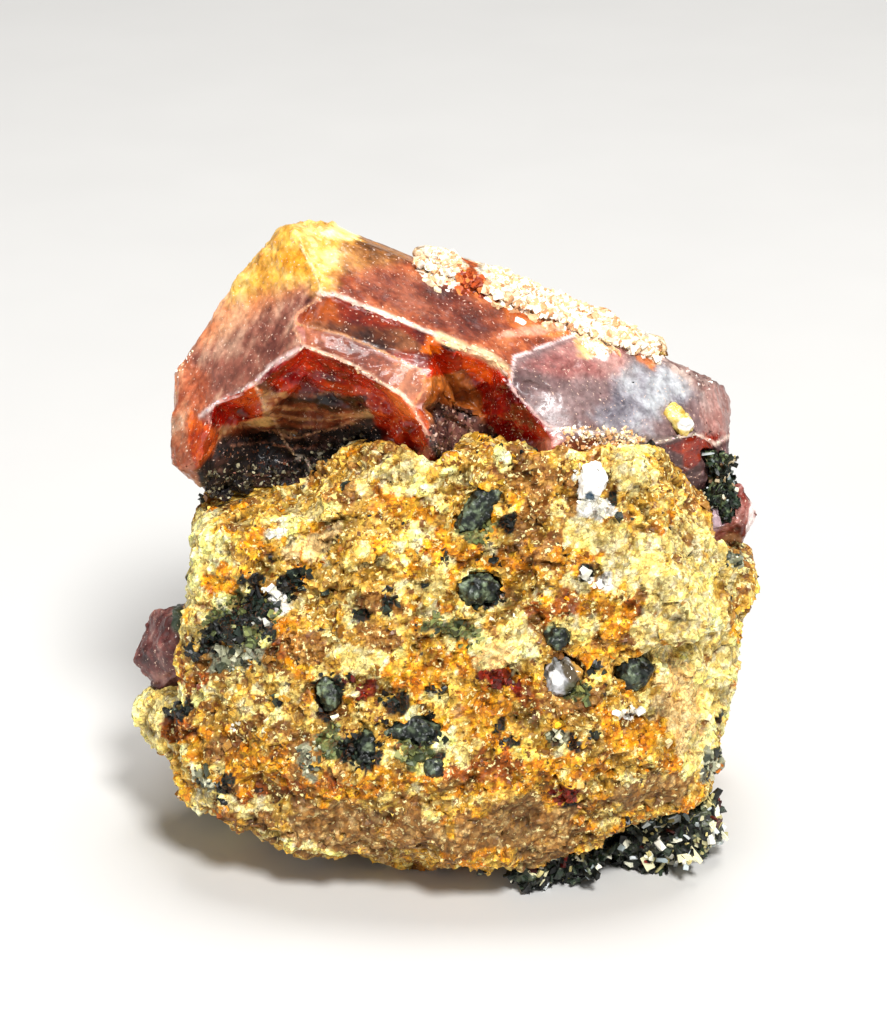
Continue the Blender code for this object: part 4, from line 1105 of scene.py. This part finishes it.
# Grains that grow on the crystal: the dark fill of the hollows, partly painted shade, the white crust and
# splinters along its broken edges. Tries, sizes, tints and outline of each patch.
crystalPatches = {
    "fill": (1500, (0.14, 0.34), "fill", (
        (-16.7, 2.8), (-14.0, 3.4), (-11.5, 3.2), (-9.8, 4.0), (-6.8, 5.2), (-5.2, 5.6), (-5.8, 3.0), (-8.2, 1.8),
        (-10.5, 0.9), (-12.0, -0.4), (-14.3, -0.9), (-16.7, -0.4))),
    "fill upper": (420, (0.1, 0.24), "dark", (
        (-16.4, 3.4), (-15.6, 5.2), (-12.7, 5.6), (-6.9, 5.9), (-4.8, 6.4), (-5.0, 4.6), (-9.0, 3.4), (-12.0, 3.0))),
    "hollow fill": (420, (0.12, 0.28), "brown", (
        (-0.6, 7.6), (1.3, 7.4), (3.4, 5.9), (4.6, 4.2), (2.2, 3.6), (1.7, 2.3), (0.9, 2.3), (-1.2, 4.8))),
    "crust": (1500, (0.16, 0.5), "crust", (
        (5.6, 16.4), (6.9, 14.5), (8.3, 13.4), (9.5, 12.7), (9.6, 11.9), (10.6, 10.8), (11.8, 11.2), (12.0, 12.0),
        (13.6, 12.4), (13.4, 13.2), (11.0, 15.0), (8.6, 16.0))),
    "crust left": (420, (0.2, 0.5), "crust", ((-1.4, 16.8), (-0.6, 18.2), (0.8, 18.2), (1.4, 17.0), (0.0, 16.6))),
    "crust middle": (620, (0.2, 0.55), "crust", ((2.6, 16.2), (3.0, 17.2), (5.4, 17.0), (6.6, 15.6), (5.4, 15.2))),
    "crust edge": (700, (0.2, 0.5), "crust", ((6.0, 15.4), (6.0, 16.6), (10.0, 15.6), (13.6, 14.4), (12.8, 13.2))),
    "pits": (420, (0.12, 0.3), "pits", (
        (12.7, 13.8), (14.6, 12.6), (17.6, 11.0), (19.8, 8.9), (18.4, 8.4), (17.0, 9.8), (14.5, 11.2))),
    "left rim": (260, (0.08, 0.24), "crust", (
        (-19.9, 10.4), (-18.8, 11.2), (-17.2, 12.6), (-17.6, 11.0), (-18.6, 9.4), (-18.8, 7.2), (-19.4, 5.6),
        (-19.9, 7.4))),
    "right foot": (300, (0.14, 0.34), "crust", (
        (7.8, 5.9), (10.0, 6.0), (12.6, 5.9), (14.2, 5.0), (12.0, 4.2), (8.4, 4.6))),
}
patchTints = {
    "fill": ((52, 46, 36), (24, 20, 16), (92, 86, 66), (140, 134, 108), (12, 10, 8), (190, 184, 150), (74, 58, 40)),
    "dark": ((12, 8, 7), (34, 18, 14), (20, 12, 10), (70, 36, 26), (130, 80, 56)),
    "brown": ((50, 26, 22), (24, 14, 12), (96, 60, 44), (150, 110, 90), (196, 160, 140)),
    "crust": ((255, 246, 226), (250, 226, 186), (236, 200, 150), (255, 252, 240), (226, 170, 120)),
    "pits": ((240, 220, 210), (170, 140, 130), (110, 84, 78), (210, 190, 186), (70, 52, 48)),
}


# crust that joins the crystal's upper edge to the ridge behind it
crustBar = {
    "line": ((-1.8, 17.5), (-0.6, 16.8), (2.8, 15.9), (6.7, 14.3), (10.6, 13.0), (13.0, 12.3), (15.0, 11.4)),
    "perMillimetre": 52,
    "stray": 0.42,  # how far flakes lie from the line
    "lower": 0.22,  # the flakes hang this far below it
    "sizes": (0.2, 0.56),
    "bare": (0.9, 2.9),  # reddish instead of white between these places
    "gap": 2.0,  # flakes bridge the gap where nothing lies nearer than this behind the edge
}


def barGrains(rng):
    grains = []
    toEye = (-into).to_track_quat("Z", "Y")
    for (x0, y0), (x1, y1) in zip(crustBar["line"], crustBar["line"][1:]):
        for _ in range(int(math.hypot(x1 - x0, y1 - y0) * crustBar["perMillimetre"])):
            along, stray = rng.random(), rng.gauss(0.0, crustBar["stray"])
            across, up = x0 + (x1 - x0) * along, y0 + (y1 - y0) * along + stray - crustBar["lower"]
            base = seenAt(crystalTree, across, up - 1.1)[0]
            hits = [seenAt(tree, across, up)[0] for tree in (crystalTree, rockTree)]
            place = min((hit for hit in hits if hit is not None), key=lambda hit: (hit - eye).length, default=None)
            if base is None:
                continue
            if place is None or (place - base).dot(into) > crustBar["gap"] * mm:
                start, way = sightLine(across, up)
                place = start + way * ((base - start).length + rng.uniform(0.2, 0.9) * mm)
            bare = crustBar["bare"][0] < across < crustBar["bare"][1]
            tint = linear(rng.choice(grainTints["ember"] if bare else patchTints["crust"]))
            size = rng.uniform(*crustBar["sizes"])
            flake = (size * 1.5 * mm, size * rng.uniform(0.8, 1.3) * mm, size * rng.uniform(0.25, 0.5) * mm)
            spin = Euler((rng.gauss(0.4, 0.35), rng.gauss(0.0, 0.35), rng.random() * 6.0))
            grains.append((place, flake, toEye @ spin.to_quaternion(), tint))
    return grains


def splinterGrains(rng):
    grains = []
    alongSight = into.to_track_quat("-Z", "Y")
    # splinters in the pale tints of the lines, which are partly painted highlight
    for width, tint, strength, places in crystalLines:
        for (x0, y0), (x1, y1) in zip(places, places[1:]):
            for _ in range(int(math.hypot(x1 - x0, y1 - y0) * 5.0 * strength)):
                along = rng.random()
                across = x0 + (x1 - x0) * along + rng.gauss(0.0, width * 0.4)
                up = y0 + (y1 - y0) * along + rng.gauss(0.0, width * 0.4)
                place = seenAt(crystalTree, across, up)[0]
                if place is None:
                    continue
                size = rng.uniform(0.5, 1.3) * (0.05 + width * 0.6)
                sizes = (size * 2.0 * mm, size * 0.8 * mm, size * 0.6 * mm)
                spin = Euler((rng.gauss(0.0, 0.4), rng.gauss(0.0, 0.4),
                              rng.gauss(0.0, 0.3) + math.atan2(y1 - y0, x1 - x0)))
                tints = [part * rng.uniform(0.75, 1.1) for part in linear(tint)]
                grains.append((place, sizes, alongSight @ spin.to_quaternion(), tints))
    return grains


def makeCrystalGrains():
    rng = random.Random(31)
    templates = grainTemplates(9, 7, 5)
    grains = barGrains(rng)
    for count, (low, high), tints, outline in crystalPatches.values():
        for across, up in placesInside(outline, count, rng):
            place, normal, _, _ = seenAt(crystalTree, across, up)
            if place is None and tints == "crust":
                place, normal, _, _ = seenAt(rockTree, across, up)
            if place is None:
                continue
            size = rng.uniform(low, high)
            sizes = [size * rng.uniform(0.6, 1.3) * mm for _ in range(3)]
            turn, tint = anyTurn(rng), linear(rng.choice(patchTints[tints]))
            grains.append((place - normal * size * 0.2 * mm, sizes, turn, tint))
    splinters = splinterGrains(rng)
    piece = grainPiece("crystalGrains", templates, grains, grainFinish, 33)
    piece = grainPiece("crystalSplinters", templates, splinters, grainFinish, 34)
    print("stage: crystal grains,", len(grains), "and splinters,", len(splinters))


makeCrystalGrains()


# Small crystals and grains

# a small crystal or grain with broken edges, a rough skin and mottled tints
def smallPiece(node, name, finish, form, seed):
    form = {**smallForm, **form}
    piece = copyOfNode(node, name)
    edgeTree = sharpEdgeTree(piece)
    fineMesh(piece, form["edge"])
    points, normals = pointsOf(piece.data), normalsOf(piece.data)
    colours = threeTints(form["tints"], cloudNoise(points, form["mottle"], seed, 4) * 1.5)
    across, up, _ = onDisplay(points)
    for tint, *spot in form["spots"]:
        share = spotStrength(across, up, raggedness(points, 0.5, 0.12), *spot)
        colours = blend(colours, np.array(linear(tint)), share)
    writeColour(piece.data, "tint", np.clip(colours, 0.0, 1.0))
    writeValue(piece.data, "rough", np.full(len(points), form["rough"]))
    writeValue(piece.data, "glow", np.full(len(points), form["glow"]))
    points = chipEdges(points, normals, edgeTree, form["reach"], form["depth"], form["chip"], seed + 3)
    rise = cloudNoise(points, form["chip"], seed + 6, 3) + facetRise(points, form["chip"], seed + 9, 0.6, 1.2)
    rise = rise * form["relief"] + form["swell"]
    finishPiece(piece, points + normals * rise[:, None] * mm, finish, form["smoothAngle"])
    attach(piece, "root")
    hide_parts(node)
    return piece


# A small piece has these unless its own form says otherwise. Its edges are chipped within reach, to
# depth, in bites as wide as chip; relief and swell are heights. All are millimetres.
smallForm = {"rough": 0.25, "glow": 0.0, "swell": 0.0, "smoothAngle": 26, "spots": ()}
darkForm = {"edge": 0.16, "mottle": 0.45, "reach": 0.4, "depth": 0.2, "chip": 0.5, "relief": 0.14, "swell": 0.16,
            "tints": ((4, 6, 5), (24, 31, 25), (104, 116, 90))}
clusterForm = {"edge": 0.3, "mottle": 0.9, "reach": 0.6, "depth": 0.4, "chip": 0.9, "relief": 0.16,
               "tints": ((4, 5, 4), (20, 27, 20), (92, 98, 74))}
bladeForm = {"edge": 0.14, "mottle": 0.6, "reach": 0.3, "depth": 0.22, "chip": 0.5, "relief": 0.1,
             "tints": ((6, 10, 7), (28, 44, 30), (120, 134, 96))}
leftZirconForm = {"edge": 0.2, "mottle": 1.2, "reach": 0.7, "depth": 0.5, "chip": 1.1, "relief": 0.14, "rough": 0.4,
                  "glow": 0.01, "tints": ((52, 22, 22), (104, 56, 52), (166, 120, 108)),
                  "spots": (((70, 82, 66), -18.6, -7.4, 0.5, 1.0), ((196, 172, 140), -18.2, -10.6, 0.5, 0.9))}
rightZirconForm = {"edge": 0.16, "mottle": 1.0, "reach": 0.4, "depth": 0.3, "chip": 0.9, "relief": 0.1, "rough": 0.3,
                   "glow": 0.03, "tints": ((60, 16, 12), (116, 44, 34), (176, 120, 110)),
                   "spots": (((178, 152, 160), 18.6, -0.1, 1.1, 1.3, 30),
                             ((236, 214, 208), 21.6, -0.2, 0.25, 2.0, -8), ((150, 104, 70), 20.2, -2.2, 0.7, 0.7))}
quartzForm = {"edge": 0.1, "mottle": 0.5, "reach": 0.4, "depth": 0.34, "chip": 0.6, "relief": 0.12,
              "tints": ((226, 220, 206), (252, 250, 244), (255, 255, 255)),
              "spots": (((58, 84, 104), 10.25, 0.95, 0.34, 0.46),)}
micaForm = {"edge": 0.1, "mottle": 0.5, "reach": 0.35, "depth": 0.3, "chip": 0.6, "relief": 0.1,
            "tints": ((70, 70, 66), (136, 136, 134), (206, 204, 206)),
            "spots": (((196, 146, 66), 9.6, -10.9, 0.5, 1.0, 30), ((92, 80, 62), 8.9, -11.3, 0.4, 1.2, 30),
                      ((255, 255, 252), 7.9, -11.6, 0.4, 0.6, 30), ((226, 224, 226), 7.2, -10.6, 0.3, 0.6, 30),
                      ((84, 82, 60), 9.2, -12.6, 0.8, 0.6, -40), ((76, 72, 64), 7.5, -10.9, 0.22, 0.26))}
# the chip's white spot is a painted glint; its brown spot is partly its brown translucent side, partly painted shade
chipForm = {"edge": 0.1, "mottle": 0.4, "reach": 0.3, "depth": 0.2, "chip": 0.9, "relief": 0.24, "swell": 0.14,
            "tints": ((190, 150, 52), (234, 206, 110), (255, 250, 200)),
            "spots": (((120, 84, 68), 17.5, 7.1, 0.3, 1.0), ((255, 254, 250), 16.9, 6.1, 0.5, 0.36))}

for number in range(1, 9):
    node, name = f"amphibole_grain_{number}", f"amphiboleGrain{number}"
    smallPiece(node, name, darkFinish, darkForm, 200 + number)
cluster = smallPiece("amphibole_cluster", "amphiboleCluster", darkFinish, clusterForm, 220)
blades = smallPiece("amphibole_right", "amphiboleBlades", darkFinish, bladeForm, 230)
smallPiece("zircon_left_small", "leftZircon", zirconFinish, leftZirconForm, 240)
smallPiece("zircon_right_small", "rightZircon", zirconFinish, rightZirconForm, 250)
smallPiece("quartz_grain", "quartzGrain", quartzFinish, quartzForm, 260)
smallPiece("mica_flake", "micaFlake", quartzFinish, micaForm, 270)
smallPiece("feldspar_chip", "feldsparChip", quartzFinish, chipForm, 280)

# Splinters over the bottom cluster and the right blades. Pale ones are few to the left of brightFrom.
splinterTints = {
    "black": ((10, 13, 10), (24, 34, 24), (6, 7, 6), (36, 48, 34), (16, 18, 14)),
    "gold": ((236, 230, 186), (250, 248, 222), (184, 176, 120), (255, 252, 236), (212, 198, 132)),
    "silver": ((196, 206, 206), (150, 164, 166), (230, 236, 236)),
    "red": ((92, 20, 12), (60, 14, 10)),
    "beige": ((180, 156, 122), (140, 112, 88), (206, 190, 156)),
}
clusterSplinters = {"spacing": 0.56, "sizes": (0.45, 1.25), "brightFrom": 14.2, "shares": (
    ("black", 0.26), ("gold", 0.5), ("silver", 0.16), ("red", 0.08))}
bladeSplinters = {"spacing": 0.36, "sizes": (0.25, 0.7), "brightFrom": 0.0, "shares": (
    ("black", 0.76), ("gold", 0.03), ("silver", 0.03), ("beige", 0.18))}


def makeSplinters(piece, name, form, seed):
    rng = random.Random(seed)
    centres, normals = spreadOver(piece.data, form["spacing"], 0.3, seed)
    patches = cloudNoise(centres, 1.6, seed, 2)
    dull, pale = [], []
    for centre, normal, patch in zip(centres, normals, patches):
        names, shares = zip(*form["shares"])
        bright = 1.0 if centre[0] / mm > form["brightFrom"] and normal[1] < 0.3 else 0.12
        shares = [share * bright * (1.8 if patch > 0.1 else 0.6) if number else share
                  for number, share in enumerate(shares)]
        kind = rng.choices(names, shares)[0]
        size = rng.uniform(*form["sizes"])
        sizes = [size * rng.uniform(*span) * mm for span in ((0.8, 1.4), (0.3, 0.6), (0.15, 0.35))]
        turn = layFlat(normal, rng, 0.85)
        place = Vector(centre) - Vector(normal) * size * 0.1 * mm
        (dull if kind in ("black", "red") else pale).append(
            (place, sizes, turn, linear(rng.choice(splinterTints[kind]))))
    templates = grainTemplates(seed, 6, 3)
    grainPiece(name + "Dark", templates, dull, darkFinish, seed + 1)
    grainPiece(name + "Pale", templates, pale, quartzFinish, seed + 2)


makeSplinters(cluster, "clusterSplinters", clusterSplinters, 301)
makeSplinters(blades, "bladeSplinters", bladeSplinters, 311)
print("stage: small crystals")


# Floor, camera and light

studio = {
    "floorColour": (0.62, 0.61, 0.59, 1.0),
    "skyStrength": 0.16,
    "lights": {  # place, size and power of each
        "keyLight": ((0.10, -0.30, 0.42), 0.12, 3.2),
        "fillLight": ((-0.40, -0.28, 0.16), 0.35, 0.7),
        "topLight": ((0.05, 0.12, 0.5), 0.3, 2.0),
    },
}


def softLight(name, place, size, power):
    lamp = bpy.data.lights.new(name, "AREA")
    lamp.shape = "DISK"
    lamp.size = size
    lamp.energy = power
    light = addObject(name, lamp)
    light.location = place
    light.rotation_euler = (aim - Vector(place)).to_track_quat("-Z", "Y").to_euler()


def makeStudio():
    bpy.ops.object.select_all(action="DESELECT")
    bpy.ops.mesh.primitive_plane_add(size=4.0, location=(0.0, 0.0, cadBox[0][2]))
    floor = bpy.context.object
    floor.name = "floor"
    material, tree, shader = newMaterial("paleFloor", roughness=0.7)
    cloud = addNode(tree, "ShaderNodeTexNoise", Vector=placeOf(tree), Scale=60.0, Detail=2.0)
    plain = addNode(tree, "ShaderNodeRGB")
    plain.outputs[0].default_value = studio["floorColour"]
    setInput(tree, shader["Base Color"], shadeBy(tree, plain.outputs[0], cloud.outputs["Fac"], 0.97, 1.03))
    floor.data.materials.append(material)
    for name, light in studio["lights"].items():
        softLight(name, *light)
    world = bpy.data.worlds.new("studio")
    world.use_nodes = True
    world.node_tree.nodes["Background"].inputs["Color"].default_value = (1.0, 1.0, 1.0, 1.0)
    world.node_tree.nodes["Background"].inputs["Strength"].default_value = studio["skyStrength"]
    bpy.context.scene.world = world
    bpy.context.scene.view_settings.view_transform = "Standard"
    lens = bpy.data.cameras.new("displayCamera")
    lens.lens = sight["lens"]
    lens.sensor_width = 36.0
    camera = addObject("displayCamera", lens)
    camera.location = eye
    camera.rotation_euler = into.to_track_quat("-Z", "Y").to_euler()
    bpy.context.scene.camera = camera


makeStudio()
print("stage: studio")
